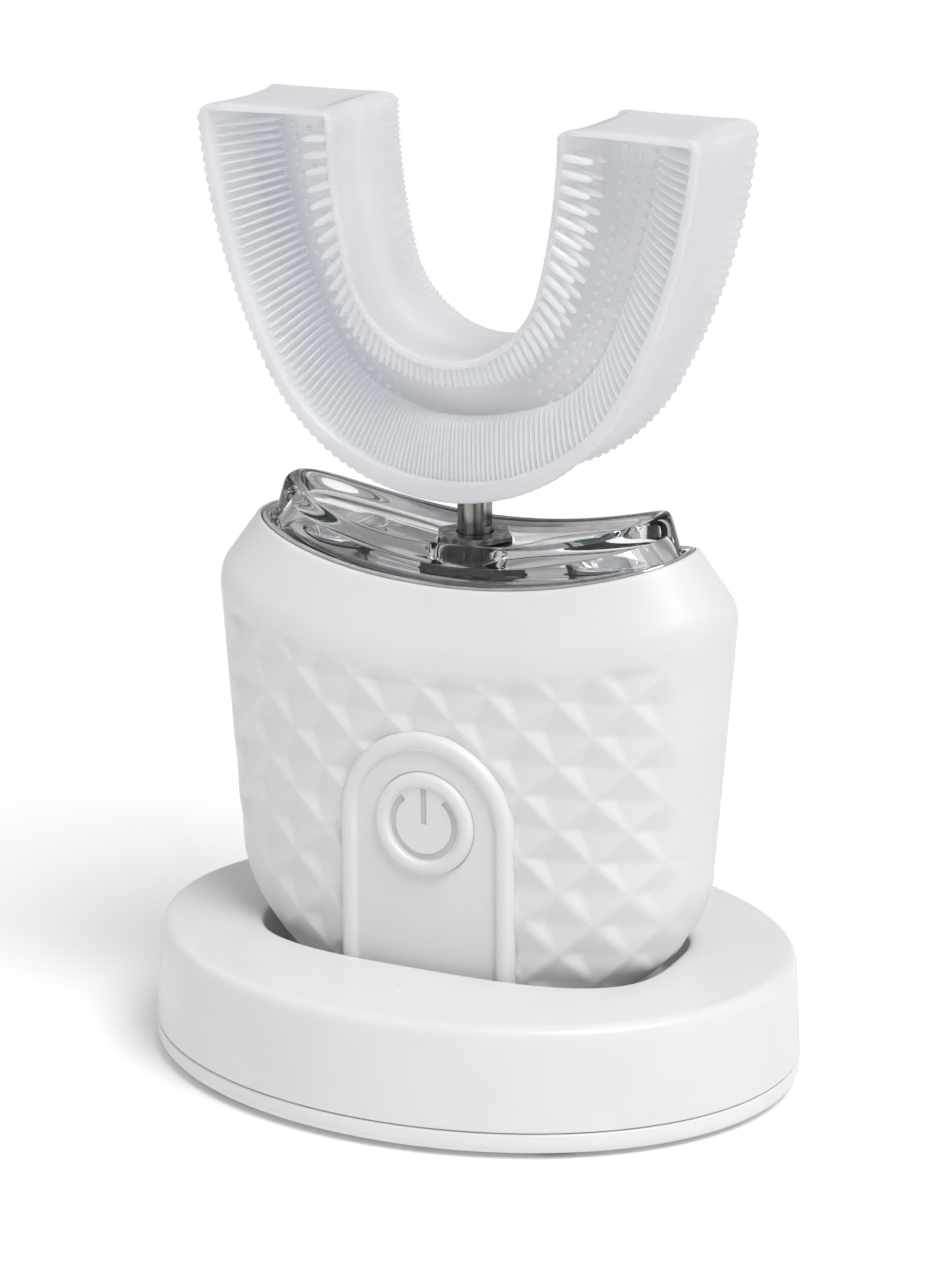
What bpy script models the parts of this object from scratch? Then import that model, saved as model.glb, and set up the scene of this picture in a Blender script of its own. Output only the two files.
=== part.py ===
"""Electric toothbrush with a U-shaped mouthpiece, standing in its wireless charging base.

Dimensions are in millimetres and become metres when a mesh is made. +Z is up, the long side of the
base runs along X, and the power button faces -Y. The origin is on the surface the base stands on, under
its centre. The motor shaft is the Z axis.
"""

import math

import bmesh
import bpy
from mathutils import Matrix, Vector

MM = 0.001
SIDES = 44  # points round a large oval section
SMALL_SIDES = 20  # points round a small turned piece
FIT_SIDES = 32  # points round a shaft and the bores it runs in
SCREW_SIDES = 12  # points round a small screw hole
FIT_CLEARANCE = 0.09  # radial play of the shaft in its bushes
SEAM = 0.15  # gap along a visible seam
GAP = 0.3  # gap between pieces that rest on each other
SHARP_ANGLE = math.radians(35)
FACING_UP = Matrix.Identity(4)
FACING_DOWN = Matrix.Rotation(math.pi, 4, "X")
FACING_FRONT = Matrix.Rotation(math.pi / 2, 4, "X")

# Charging base: an oval, with a pocket that the handle stands in.
BASE_A, BASE_B = 41.0, 32.6
BASE_DRAFT = 0.6
BASE_TOP = 16.1
BASE_EDGE = 1.8
BASE_WALL = 1.6
PLATE_BOTTOM, PLATE_TOP = 0.6, 3.3
PLATE_FLOOR = 2.1
PLATE_RIM = 1.8
POCKET_A, POCKET_B, POCKET_POWER = 26.3, 15.0, 3.1
POCKET_LIP = 0.6
POCKET_FLOOR = 9.9
POCKET_SKIN = 1.2
FOOT_X, FOOT_Y = 20.0, 21.5
FOOT_RADIUS, FOOT_HEIGHT = 4.0, 1.2
BOSS_RADIUS, BOSS_BOTTOM = 3.0, 5.2
PLATE_BOSS = 3.8
BOARD_BOTTOM, BOARD_TOP = 4.7, 5.7
BASE_SCREW_RADIUS, BASE_SCREW_HEAD, BASE_SCREW_LENGTH = 1.0, 2.3, 9.5
CORNERS = [(1, 1), (-1, 1), (-1, -1), (1, -1)]
INLET_Z, INLET_HALF_W, INLET_HALF_H = 7.6, 4.45, 1.6
INLET_PLAY = 0.35  # gap between the inlet's shell and its window in the base

# Handle: superellipse sections, a rounded bottom, and a saddle-shaped top that dips in the middle.
HANDLE_POWER = 2.6
SADDLE_HALF = 27.3  # the x at which a section's sag is counted
HANDLE_BOTTOM, HANDLE_TURN = 10.4, 28.0
TURN_A, TURN_B = 30.4, 13.9
BOTTOM_IN_A, BOTTOM_IN_B = 17.5, 1.9
SHOULDER_Z, SHOULDER_A, SHOULDER_B, SHOULDER_SAG = 54.4, 32.9, 14.2, 3.86
RIM_Z, RIM_A, RIM_B, RIM_SAG = 62.2, 28.0, 11.0, 4.4
HANDLE_WALL = 1.8
LEDGE_DROP, LEDGE_A, LEDGE_B = 1.3, 25.0, 8.2

# Clear cap on top of the handle, and the lamps under it.
CAP_POWER = 2.5
CAP_A, CAP_B = 26.35, 9.35
CAP_TOP_A, CAP_TOP_B, CAP_SAG = 24.7, 8.0, 6.0
CAP_LIP_Z, CAP_DECK_Z, CAP_THICK = 66.5, 65.3, 1.4
CAP_HOLE = 4.8
LAMP_X = 17.0

# Button panel on the front of the handle.
BUTTON_Z = 33.9
PANEL_HALF, PANEL_BOTTOM, PANEL_STRAIGHT = 11.2, 14.0, 26.0
PANEL_DEPTH, PANEL_RIM = 0.75, 0.75
BUTTON_RADIUS = 6.4
STEM_RADIUS, STEM_HOLE = 1.9, 2.4
ICON_RADIUS, ICON_WIDTH, ICON_DEPTH = 4.05, 0.8, 0.3
ICON_GAP = math.radians(40)  # half of the ring's open part

# Drive: motor, shaft and what they carry.
SHAFT_RADIUS, SHAFT_TOP = 2.1, 81.0
ROTOR_SHAFT_RADIUS = 1.5
SHAFT_FLAT = 1.7  # distance from the axis to the flat that keys the mouthpiece
MOTOR_RADIUS, MOTOR_BOTTOM, MOTOR_TOP = 6.2, 34.0, 55.6
MOTOR_SCREW = 3.3  # x and y of the screw that holds the motor to the frame; the other is opposite
FRAME_BOTTOM, FRAME_TOP = 57.6, 59.2

# Circuit board and battery.
BOARD_FRONT, BOARD_BACK = -7.8, -6.6
CELL_RADIUS, CELL_HALF, CELL_Z = 7.0, 20.0, 25.5
LEG_IN, LEG_OUT = 20.4, 21.8
LUG_X, LUG_Z = 14.0, 54.0  # where the board is screwed to the frame

# Mouthpiece: an H-section swept round a U. Each edge of the U is two arcs on a side: (radius, angle swept).
OUTER_EDGE = (72.0, (26.0, 62.0), (78.0, 24.0))  # height of the lowest point, then the arcs
INNER_EDGE = (89.0, (12.4, 76.0), (80.0, 13.5))
ARCH_STATIONS = 38
TRAY_HALF_DEPTH = 9.0
TRAY_WALL, TRAY_FLARE, WEB_HALF, END_STEP = 1.3, 1.3, 1.0, 1.6
HUB_SWELL, HUB_REACH = 3.4, 8.0
SOCKET_RADIUS, SOCKET_BOTTOM, SOCKET_TOP = 3.1, 72.6, 82.6
SOCKET_PLAY = 0.12


def clear_scene():
    for thing in list(bpy.data.objects):
        bpy.data.objects.remove(thing)


def material(name, colour, roughness, metallic=0.0, transmission=0.0):
    made = bpy.data.materials.new(name)
    made.use_nodes = True
    shader = made.node_tree.nodes["Principled BSDF"]
    shader.inputs["Base Color"].default_value = (*colour, 1.0)
    shader.inputs["Roughness"].default_value = roughness
    shader.inputs["Metallic"].default_value = metallic
    shader.inputs["Transmission Weight"].default_value = transmission
    return made


# Geometry helpers


def mix(first, second, share):
    return tuple(p + (q - p) * share for p, q in zip(first, second))


def curve_through(start, corner, end, steps):
    """Sections along a quadratic curve that rounds a corner, ends included."""
    shares = [i / steps for i in range(steps + 1)]
    return [mix(mix(start, corner, s), mix(corner, end, s), s) for s in shares]


def oval(a, b, power, z, sag=0.0, sides=SIDES, centre=(0.0, 0.0)):
    """Points of a superellipse, whose height follows the saddle by sag."""
    points = []
    for i in range(sides):
        turn = 2 * math.pi * i / sides
        c, s = math.cos(turn), math.sin(turn)
        reach = (abs(c) ** power + abs(s) ** power) ** (-1 / power)
        x, y = a * c * reach, b * s * reach
        points.append(Vector((x + centre[0], y + centre[1], z + sag * (x / SADDLE_HALF) ** 2)))
    return points


def circle(radius, z, sides=SMALL_SIDES, centre=(0.0, 0.0)):
    return oval(radius, radius, 2.0, z, 0.0, sides, centre)


def add_object(name, mesh, look):
    mesh.shade_smooth()
    mesh.set_sharp_from_angle(angle=SHARP_ANGLE)
    if look:
        mesh.materials.append(look)
    made = bpy.data.objects.new(name, mesh)
    bpy.context.scene.collection.objects.link(made)
    return made


def loft(name, rings, look, closed=False):
    """One solid through rings of points.

    Closed joins the last ring to the first; otherwise both ends are capped.
    """
    bm = bmesh.new()
    loops = [[bm.verts.new(point * MM) for point in ring] for ring in rings]
    pairs = list(zip(loops, loops[1:]))
    if closed:
        pairs.append((loops[-1], loops[0]))
    else:
        bm.faces.new(loops[0])
        bm.faces.new(loops[-1])
    for low, high in pairs:
        count = len(low)
        for i in range(count):
            j = (i + 1) % count
            bm.faces.new((low[i], low[j], high[j], high[i]))
    bmesh.ops.recalc_face_normals(bm, faces=bm.faces)
    mesh = bpy.data.meshes.new(name)
    bm.to_mesh(mesh)
    bm.free()
    return add_object(name, mesh, look)


def turned(name, profile, look, sides=SMALL_SIDES, centre=(0.0, 0.0), closed=False):
    """A round piece about a vertical axis, from (radius, z) pairs."""
    return loft(name, [circle(r, z, sides, centre) for r, z in profile], look, closed)


def facing_pin(name, profile, look, sides, x, y, z):
    """A round piece about an axis along Y through x, y, z, from (radius, depth behind y) pairs."""
    pin = turned(name, profile, look, sides)
    pin.data.transform(Matrix.Rotation(-math.pi / 2, 4, "X"))
    pin.location = Vector((x, y, z)) * MM
    return pin


def block(name, low, high, look, edge=0.0):
    """A box from its lowest to its highest corner, with its upright edges cut by edge."""
    (x0, y0, z0), (x1, y1, z1) = low, high
    if edge:
        outline = [(x0 + edge, y0), (x1 - edge, y0), (x1, y0 + edge), (x1, y1 - edge)]
        outline += [(x1 - edge, y1), (x0 + edge, y1), (x0, y1 - edge), (x0, y0 + edge)]
    else:
        outline = [(x0, y0), (x1, y0), (x1, y1), (x0, y1)]
    rings = [[Vector((x, y, z)) for x, y in outline] for z in (z0, z1)]
    return loft(name, rings, look)


def helper(thing):
    thing.hide_render = True
    thing.display_type = "WIRE"
    return thing


def apply_tool(target, tool, operation):
    step = target.modifiers.new(f"{operation.lower()} {tool.name}", "BOOLEAN")
    step.operation = operation
    step.object = helper(tool)


def cut(target, tool):
    apply_tool(target, tool, "DIFFERENCE")


def join(target, tool):
    apply_tool(target, tool, "UNION")


# Shape of the handle's outer surface


def lower_section(share):
    """Section at a share of the way from the bottom's turn (0) down to the bottom (1)."""
    inward = 1 - math.sqrt(max(0.0, 1 - share * share))
    z = HANDLE_TURN - (HANDLE_TURN - HANDLE_BOTTOM) * share
    return (TURN_A - BOTTOM_IN_A * inward, TURN_B - BOTTOM_IN_B * inward, HANDLE_POWER, z, 0.0)


def flank_section(share):
    """Section at a share of the way from the bottom's turn (0) up to the shoulder (1)."""
    start = (TURN_A, TURN_B, HANDLE_POWER, HANDLE_TURN, 0.0)
    end = (SHOULDER_A, SHOULDER_B, HANDLE_POWER, SHOULDER_Z, SHOULDER_SAG)
    return mix(start, end, share)


def shoulder_section(share):
    """Section at a share of the way from the shoulder's edge (0) in to the rim (1)."""
    start = flank_section(1.0)
    end = (RIM_A, RIM_B, HANDLE_POWER, RIM_Z, RIM_SAG)
    return mix(start, end, share)


def front_surface(x, z):
    """The y of the handle's front surface at x and z, below the shoulder."""
    if z < HANDLE_TURN:
        share = (HANDLE_TURN - z) / (HANDLE_TURN - HANDLE_BOTTOM)
        a, b = lower_section(min(share, 1.0))[:2]
    else:
        rise = SHOULDER_Z - HANDLE_TURN + SHOULDER_SAG * (x / SADDLE_HALF) ** 2
        a, b = flank_section((z - HANDLE_TURN) / rise)[:2]
    return -b * (1 - abs(x / a) ** HANDLE_POWER) ** (1 / HANDLE_POWER)


def shrunk(section, inset, lift=0.0):
    a, b, power, z, sag = section
    return (a - inset, b - inset, power, z + lift, sag)


# Charging base


def make_base_shell(look):
    a, b = BASE_A - BASE_DRAFT, BASE_B - BASE_DRAFT
    edge = curve_through(
        (a, b, 2.0, BASE_TOP - BASE_EDGE, 0.0),
        (a, b, 2.0, BASE_TOP, 0.0),
        (a - BASE_EDGE, b - BASE_EDGE, 2.0, BASE_TOP, 0.0),
        3,
    )
    lip = curve_through(
        (POCKET_A + POCKET_LIP, POCKET_B + POCKET_LIP, POCKET_POWER, BASE_TOP, 0.0),
        (POCKET_A, POCKET_B, POCKET_POWER, BASE_TOP, 0.0),
        (POCKET_A, POCKET_B, POCKET_POWER, BASE_TOP - POCKET_LIP, 0.0),
        2,
    )
    cup_a, cup_b = POCKET_A + POCKET_SKIN, POCKET_B + POCKET_SKIN
    under = BASE_TOP - BASE_WALL
    sections = [(BASE_A, BASE_B, 2.0, PLATE_TOP + SEAM, 0.0)]
    sections += edge + lip
    sections += [
        (POCKET_A - 0.4, POCKET_B - 0.4, POCKET_POWER, POCKET_FLOOR, 0.0),
        (12.0, 8.0, 2.0, POCKET_FLOOR, 0.0),
    ]
    outer = [oval(*s) for s in sections]
    inner = [
        oval(12.0, 8.0, 2.0, POCKET_FLOOR - POCKET_SKIN),
        oval(cup_a - 0.4, cup_b - 0.4, POCKET_POWER, POCKET_FLOOR - POCKET_SKIN),
        oval(cup_a, cup_b, POCKET_POWER, under),
        oval(a - BASE_WALL, b - BASE_WALL, 2.0, under),
        oval(BASE_A - BASE_WALL, BASE_B - BASE_WALL, 2.0, PLATE_TOP + SEAM),
    ]
    # The pocket's floor closes one end of the loft, its underside the other.
    floor_first = outer[::-1] + inner[::-1]
    shell = loft("base_shell", floor_first, look)
    for number, (sx, sy) in enumerate(CORNERS, 1):
        centre = (sx * FOOT_X, sy * FOOT_Y)
        profile = [(BOSS_RADIUS, BOSS_BOTTOM), (BOSS_RADIUS, under + 0.8)]
        join(shell, turned(f"base_boss_{number}", profile, None, 14, centre))
        bore = BASE_SCREW_RADIUS + GAP
        profile = [(bore, BOSS_BOTTOM - 1.0), (bore, 12.5)]
        cut(shell, turned(f"base_boss_hole_{number}", profile, None, 14, centre))
    window_w, window_h = INLET_HALF_W + INLET_PLAY, INLET_HALF_H + INLET_PLAY
    window = [slot_outline(window_w, window_h, y) for y in (BASE_B - 4.0, BASE_B + 2.0)]
    cut(shell, loft("inlet_window", window, None))


def make_base_plate(look):
    lip_a, lip_b = BASE_A - BASE_WALL - GAP, BASE_B - BASE_WALL - GAP
    sections = [
        (BASE_A - 1.2, BASE_B - 1.2, 2.0, PLATE_BOTTOM, 0.0),
        (BASE_A - 0.3, BASE_B - 0.3, 2.0, PLATE_BOTTOM + 0.5, 0.0),
        (BASE_A, BASE_B, 2.0, PLATE_BOTTOM + 1.3, 0.0),
        (BASE_A, BASE_B, 2.0, PLATE_TOP, 0.0),
        (lip_a, lip_b, 2.0, PLATE_TOP, 0.0),
        (lip_a, lip_b, 2.0, PLATE_TOP + 1.2, 0.0),
        (lip_a - PLATE_RIM, lip_b - PLATE_RIM, 2.0, PLATE_TOP + 1.2, 0.0),
        (lip_a - PLATE_RIM, lip_b - PLATE_RIM, 2.0, PLATE_FLOOR, 0.0),
    ]
    plate = loft("base_plate", [oval(*s) for s in sections], look)
    for number, (sx, sy) in enumerate(CORNERS, 1):
        centre = (sx * FOOT_X, sy * FOOT_Y)
        boss_top = BOSS_BOTTOM - GAP
        profile = [(PLATE_BOSS, 1.0), (PLATE_BOSS, boss_top)]
        join(plate, turned(f"plate_boss_{number}", profile, None, 14, centre))
        steps = [
            (FOOT_RADIUS + GAP, PLATE_BOTTOM - 1.0),
            (FOOT_RADIUS + GAP, FOOT_HEIGHT + GAP),
            (BASE_SCREW_HEAD + GAP, FOOT_HEIGHT + GAP),
            (BASE_SCREW_HEAD + GAP, 3.2),
            (BASE_SCREW_RADIUS + GAP, 3.2),
            (BASE_SCREW_RADIUS + GAP, boss_top + 1.0),
        ]
        cut(plate, turned(f"plate_hole_{number}", steps, None, 14, centre))
    for number, y in enumerate((-8.0, 13.0), 1):
        rest = BOARD_BOTTOM - 0.2
        join(plate, block(f"board_rib_{number}", (-11.0, y, 1.5), (11.0, y + 1.6, rest), None))


def make_base_feet(look):
    for number, (sx, sy) in enumerate(CORNERS, 1):
        profile = [
            (FOOT_RADIUS - 0.3, 0.0),
            (FOOT_RADIUS, 0.3),
            (FOOT_RADIUS, FOOT_HEIGHT),
        ]
        turned(f"base_foot_{number}", profile, look, centre=(sx * FOOT_X, sy * FOOT_Y))


def make_screw(name, place, turn, head, shank, length, look):
    """A pan-head screw with a cross recess. The head's face is at place; turn swings it from facing up."""
    profile = [
        (head * 0.75, 0.0),
        (head, -0.35),
        (head, -1.0),
        (shank, -1.0),
        (shank, -length + 0.5),
        (shank * 0.4, -length),
    ]
    arm, half = head * 0.55, 0.22
    screw = turned(name, profile, look, sides=14)
    slots = [
        block(f"{name}_slot_1", (-arm, -half, -0.5), (arm, half, 1.0), None),
        block(f"{name}_slot_2", (-half, -arm, -0.5), (half, arm, 1.0), None),
    ]
    for piece in (screw, *slots):
        piece.matrix_world = Matrix.Translation(Vector(place) * MM) @ turn
    for slot in slots:
        cut(screw, slot)


def make_base_screws(look):
    for number, (sx, sy) in enumerate(CORNERS, 1):
        place = (sx * FOOT_X, sy * FOOT_Y, FOOT_HEIGHT + 0.5)
        head, shank = BASE_SCREW_HEAD, BASE_SCREW_RADIUS
        make_screw(f"base_screw_{number}", place, FACING_DOWN, head, shank, BASE_SCREW_LENGTH, look)


def make_coil(name, inner, outer, low, high, look):
    profile = [(inner, low), (outer, low), (outer, high), (inner, high)]
    turned(name, profile, look, sides=28, closed=True)


def make_base_electronics(looks):
    under = POCKET_FLOOR - POCKET_SKIN
    make_coil("transmitter_coil", 4.5, 12.0, under - 1.3, under - GAP, looks["copper"])
    turned("transmitter_ferrite", [(12.6, under - 2.2), (12.6, under - 1.6)], looks["ferrite"], sides=28)
    block("base_circuit_board", (-14.5, -10.0, BOARD_BOTTOM), (14.5, 25.5, BOARD_TOP), looks["board"], 1.5)
    chips = BOARD_TOP + 0.2
    block("base_driver_chip", (-11.0, 16.0, chips), (-6.0, 21.0, chips + 1.0), looks["chip"])
    block("base_supply_chip", (6.0, 16.5, chips), (10.0, 20.5, chips + 1.2), looks["chip"])
    make_usb_inlet(looks)


def slot_outline(half_w, half_h, y):
    """Points round a flat oval with straight top and bottom, at the power inlet's height."""
    points = []
    for i in range(22):
        turn = 2 * math.pi * (i + 0.5) / 22
        side = math.copysign(half_w - half_h, math.cos(turn))
        points.append(Vector((side + half_h * math.cos(turn), y, INLET_Z + half_h * math.sin(turn))))
    return points


def make_usb_inlet(looks):
    """USB-C receptacle at the back of the base: a folded steel shell round a tongue."""
    back, mouth, skin = 23.0, 31.2, 0.35
    inner_w, inner_h = INLET_HALF_W - skin, INLET_HALF_H - skin
    rings = [
        slot_outline(INLET_HALF_W, INLET_HALF_H, back),
        slot_outline(INLET_HALF_W, INLET_HALF_H, mouth),
        slot_outline(inner_w, inner_h, mouth),
        slot_outline(inner_w, inner_h, back + 1.0),
    ]
    loft("usb_inlet_shell", rings, looks["steel"])
    low, high = INLET_Z - 0.35, INLET_Z + 0.35
    block("usb_inlet_tongue", (-3.2, back + 1.0 + SEAM, low), (3.2, mouth - 1.2, high), looks["chip"])


# Handle


def make_handle_shell(look):
    bend = curve_through(flank_section(0.93), flank_section(1.0), shoulder_section(0.2), 3)
    outer = [lower_section(s) for s in (1.0, 0.985, 0.94, 0.86, 0.74, 0.58, 0.4, 0.2)]
    outer += [flank_section(s) for s in (0.0, 0.3, 0.6)]
    outer += bend
    outer += [shoulder_section(1.0)]
    lip = shrunk(shoulder_section(1.0), 0.35)
    ledge_z = RIM_Z - LEDGE_DROP
    inner = [
        lip,
        shrunk(lip, 0.0, -LEDGE_DROP),
        (LEDGE_A, LEDGE_B, HANDLE_POWER, ledge_z, RIM_SAG),
        (LEDGE_A, LEDGE_B, HANDLE_POWER, ledge_z - 1.2, RIM_SAG),
        shrunk(shoulder_section(0.75), HANDLE_WALL, -0.6),
        shrunk(shoulder_section(0.0), HANDLE_WALL, -0.6),
        shrunk(flank_section(0.0), HANDLE_WALL),
        shrunk(lower_section(0.4), HANDLE_WALL),
        shrunk(lower_section(0.7), HANDLE_WALL, 0.4),
        shrunk(lower_section(0.9), HANDLE_WALL, 1.0),
        shrunk(lower_section(1.0), HANDLE_WALL, HANDLE_WALL),
    ]
    shell = loft("handle_shell", [oval(*s) for s in outer + inner], look)
    outline, hole = arch_outline(-SEAM), round_hole(BUTTON_RADIUS)
    floor = -PANEL_DEPTH - SEAM
    rings = [facing_ring(outline, 3.0), facing_ring(outline, floor), facing_ring(hole, floor)]
    cut(shell, loft("panel_recess", rings, None))
    profile = [(STEM_HOLE, 0.0), (STEM_HOLE, 8.0)]
    cut(shell, facing_pin("stem_hole", profile, None, SMALL_SIDES, 0.0, -16.0, BUTTON_Z))


def make_trim_ring(look):
    sag, low, high = RIM_SAG, RIM_Z - LEDGE_DROP + GAP, RIM_Z + 0.3
    outer_a, outer_b = RIM_A - 0.35 - SEAM, RIM_B - 0.35 - SEAM
    sections = [
        (outer_a, outer_b, HANDLE_POWER, low, sag),
        (outer_a, outer_b, HANDLE_POWER, high - 0.25, sag),
        (outer_a - 0.35, outer_b - 0.35, HANDLE_POWER, high, sag),
        (outer_a - 0.95, outer_b - 0.95, HANDLE_POWER, high, sag),
        (outer_a - 0.95, outer_b - 0.95, HANDLE_POWER, low, sag),
    ]
    loft("trim_ring", [oval(*s) for s in sections], look, closed=True)


def make_clear_cap(look):
    """Clear cover whose walls lean in to a rounded lip round a slightly lower deck."""
    power, sag = CAP_POWER, CAP_SAG
    foot = (CAP_A, CAP_B, power, RIM_Z - LEDGE_DROP + GAP, RIM_SAG)
    lip = curve_through(
        mix(foot, (CAP_TOP_A, CAP_TOP_B, power, CAP_LIP_Z, sag), 0.8),
        (CAP_TOP_A, CAP_TOP_B, power, CAP_LIP_Z + 0.3, sag),
        (CAP_TOP_A - 2.0, CAP_TOP_B - 1.8, power, CAP_LIP_Z - 0.3, sag),
        4,
    )
    deck_a, deck_b = CAP_TOP_A - 2.7, CAP_TOP_B - 2.4
    under = CAP_DECK_Z - CAP_THICK
    sections = [foot] + lip + [(deck_a, deck_b, power, CAP_DECK_Z, sag)]
    rings = [oval(*section) for section in sections]
    rings += [circle(CAP_HOLE, CAP_DECK_Z, SIDES), circle(CAP_HOLE, under, SIDES)]
    rings += [
        oval(deck_a, deck_b, power, under, sag),
        oval(deck_a + 1.0, deck_b + 1.0, power, under - 0.3, sag),
        oval(*shrunk(foot, 1.5)),
    ]
    loft("clear_cap", rings, look, closed=True)


def make_reflector(look):
    """Bright plate under the clear cap, and the two cups that sit in its holes round the lamps."""
    a, b, sag, z = 23.6, 6.9, 4.4, 61.6
    hub = 6.6

    def hub_ring(height):
        return oval(hub, hub - 1.0, 2.0, height)

    rings = [
        hub_ring(z),
        oval(a, b, HANDLE_POWER, z, sag),
        oval(a, b, HANDLE_POWER, z + 0.8, sag),
        hub_ring(z + 0.8),
    ]
    plate = loft("reflector_plate", rings, look, closed=True)
    for name, side in (("left", -1), ("right", 1)):
        centre = (side * LAMP_X, 0.0)
        cut(plate, turned(f"cup_hole_{name}", [(4.9, 58.0), (4.9, 70.0)], None, 24, centre))
        profile = [(2.4, 61.1), (3.4, 61.1), (4.7, 64.6), (4.5, 65.2), (4.1, 64.8), (2.6, 61.7)]
        turned(f"reflector_cup_{name}", profile, look, 24, centre, closed=True)


def make_lamps(looks):
    for name, side in (("left", -1), ("right", 1)):
        x = side * LAMP_X
        block(f"lamp_board_{name}", (x - 4.0, -4.0, 59.5), (x + 4.0, 4.0, 60.3), looks["board"], 0.6)
        block(f"lamp_{name}", (x - 1.4, -1.4, 60.5), (x + 1.4, 1.4, 61.8), looks["lamp"], 0.3)


def make_shaft_seal(look):
    bore = SHAFT_RADIUS + 0.2
    profile = [(bore, 62.7), (6.2, 62.7), (6.2, 63.4), (4.5, 63.6), (4.5, 65.4), (bore, 65.4)]
    turned("shaft_seal", profile, look, 24, closed=True)


def make_shaft_collar(look):
    """Six-sided plate that holds the seal down on the clear cap."""
    low, high = CAP_DECK_Z + 0.45, CAP_DECK_Z + 1.15
    bore = SHAFT_RADIUS + 0.2
    sides = 24

    def hexagon(reach, z):
        points = []
        for i in range(sides):
            turn = 2 * math.pi * i / sides
            slice_turn = (turn % (math.pi / 3)) - math.pi / 6
            radius = reach * math.cos(math.pi / 6) / math.cos(slice_turn)
            points.append(Vector((radius * math.cos(turn), radius * math.sin(turn), z)))
        return points

    rings = [
        circle(bore, low, sides),
        hexagon(4.9, low),
        hexagon(4.9, high - 0.2),
        hexagon(4.6, high),
        circle(bore, high, sides),
    ]
    loft("shaft_collar", rings, look, closed=True)


def make_inner_frame(look):
    """Frame that carries the motor, the battery and the board: a top plate, two legs and a cradle."""
    a, b, hub = 24.4, 7.8, 3.5
    rings = [
        circle(hub, FRAME_BOTTOM, SIDES),
        oval(a, b, HANDLE_POWER, FRAME_BOTTOM),
        oval(a, b, HANDLE_POWER, FRAME_TOP),
        circle(hub, FRAME_TOP, SIDES),
    ]
    frame = loft("inner_frame", rings, look, closed=True)
    cradle = CELL_Z - CELL_RADIUS - GAP
    for name, side in (("left", -1), ("right", 1)):
        inside, outside = sorted((side * LEG_IN, side * LEG_OUT))
        low, high = (inside, -4.0, cradle - 1.2), (outside, 4.0, FRAME_BOTTOM + 0.8)
        join(frame, block(f"frame_leg_{name}", low, high, None))
        inside, outside = sorted((side * (LUG_X - 2.0), side * (LUG_X + 2.0)))
        low, high = (inside, BOARD_BACK + GAP, 51.5), (outside, -3.6, FRAME_BOTTOM + 0.6)
        join(frame, block(f"board_lug_{name}", low, high, None))
        profile = [(0.9, 0.0), (0.9, 2.4)]
        hole_name = f"board_lug_hole_{name}"
        cut(frame, facing_pin(hole_name, profile, None, SCREW_SIDES, side * LUG_X, BOARD_BACK, LUG_Z))
        place = (side * MOTOR_SCREW, side * MOTOR_SCREW)
        profile = [(1.2, 55.0), (1.2, 62.0)]
        cut(frame, turned(f"frame_hole_{name}", profile, None, SCREW_SIDES, place))
    low, high = (-LEG_IN - 0.7, -3.4, cradle - 1.2), (LEG_IN + 0.7, 3.4, cradle)
    join(frame, block("frame_cradle", low, high, None))


def make_motor(looks):
    skin = 0.5
    inside = MOTOR_RADIUS - skin
    low, top = MOTOR_BOTTOM, MOTOR_TOP
    bush_out = 2.9
    can = [
        (bush_out + 0.1, low),
        (MOTOR_RADIUS, low),
        (MOTOR_RADIUS, top),
        (inside, top),
        (inside, low + 0.8),
        (bush_out + 0.1, low + 0.8),
    ]
    turned("motor_can", can, looks["steel"], 28, closed=True)
    cap_low, cap_high = top + GAP, top + GAP + 1.4
    profile = [
        (bush_out + 0.1, cap_low),
        (MOTOR_RADIUS, cap_low),
        (MOTOR_RADIUS, cap_high),
        (bush_out + 0.1, cap_high),
    ]
    cap = turned("motor_end_cap", profile, looks["steel"], 28, closed=True)
    for name, side in (("left", -1), ("right", 1)):
        centre = (side * MOTOR_SCREW, side * MOTOR_SCREW)
        profile = [(1.05, 54.0), (1.05, 60.0)]
        cut(cap, turned(f"cap_hole_{name}", profile, None, SCREW_SIDES, centre))
        place = (*centre, FRAME_TOP + 1.3)
        make_screw(f"motor_screw_{name}", place, FACING_UP, 1.8, 0.8, 4.2, looks["steel"])
    bore = ROTOR_SHAFT_RADIUS + FIT_CLEARANCE
    make_bush("motor_rear_bush", bush_out, bore, low - 0.6, low + 2.6, looks["brass"])
    bore = SHAFT_RADIUS + FIT_CLEARANCE
    make_bush("motor_front_bush", bush_out, bore, cap_low - 1.6, cap_low + 3.0, looks["brass"])
    make_coil("motor_stator", 3.9, inside - 0.2, low + 4.0, top - 3.5, looks["copper"])


def make_bush(name, outer, bore, low, high, look):
    profile = [(bore, low), (outer, low), (outer, high), (bore, high)]
    turned(name, profile, look, FIT_SIDES, closed=True)


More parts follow.
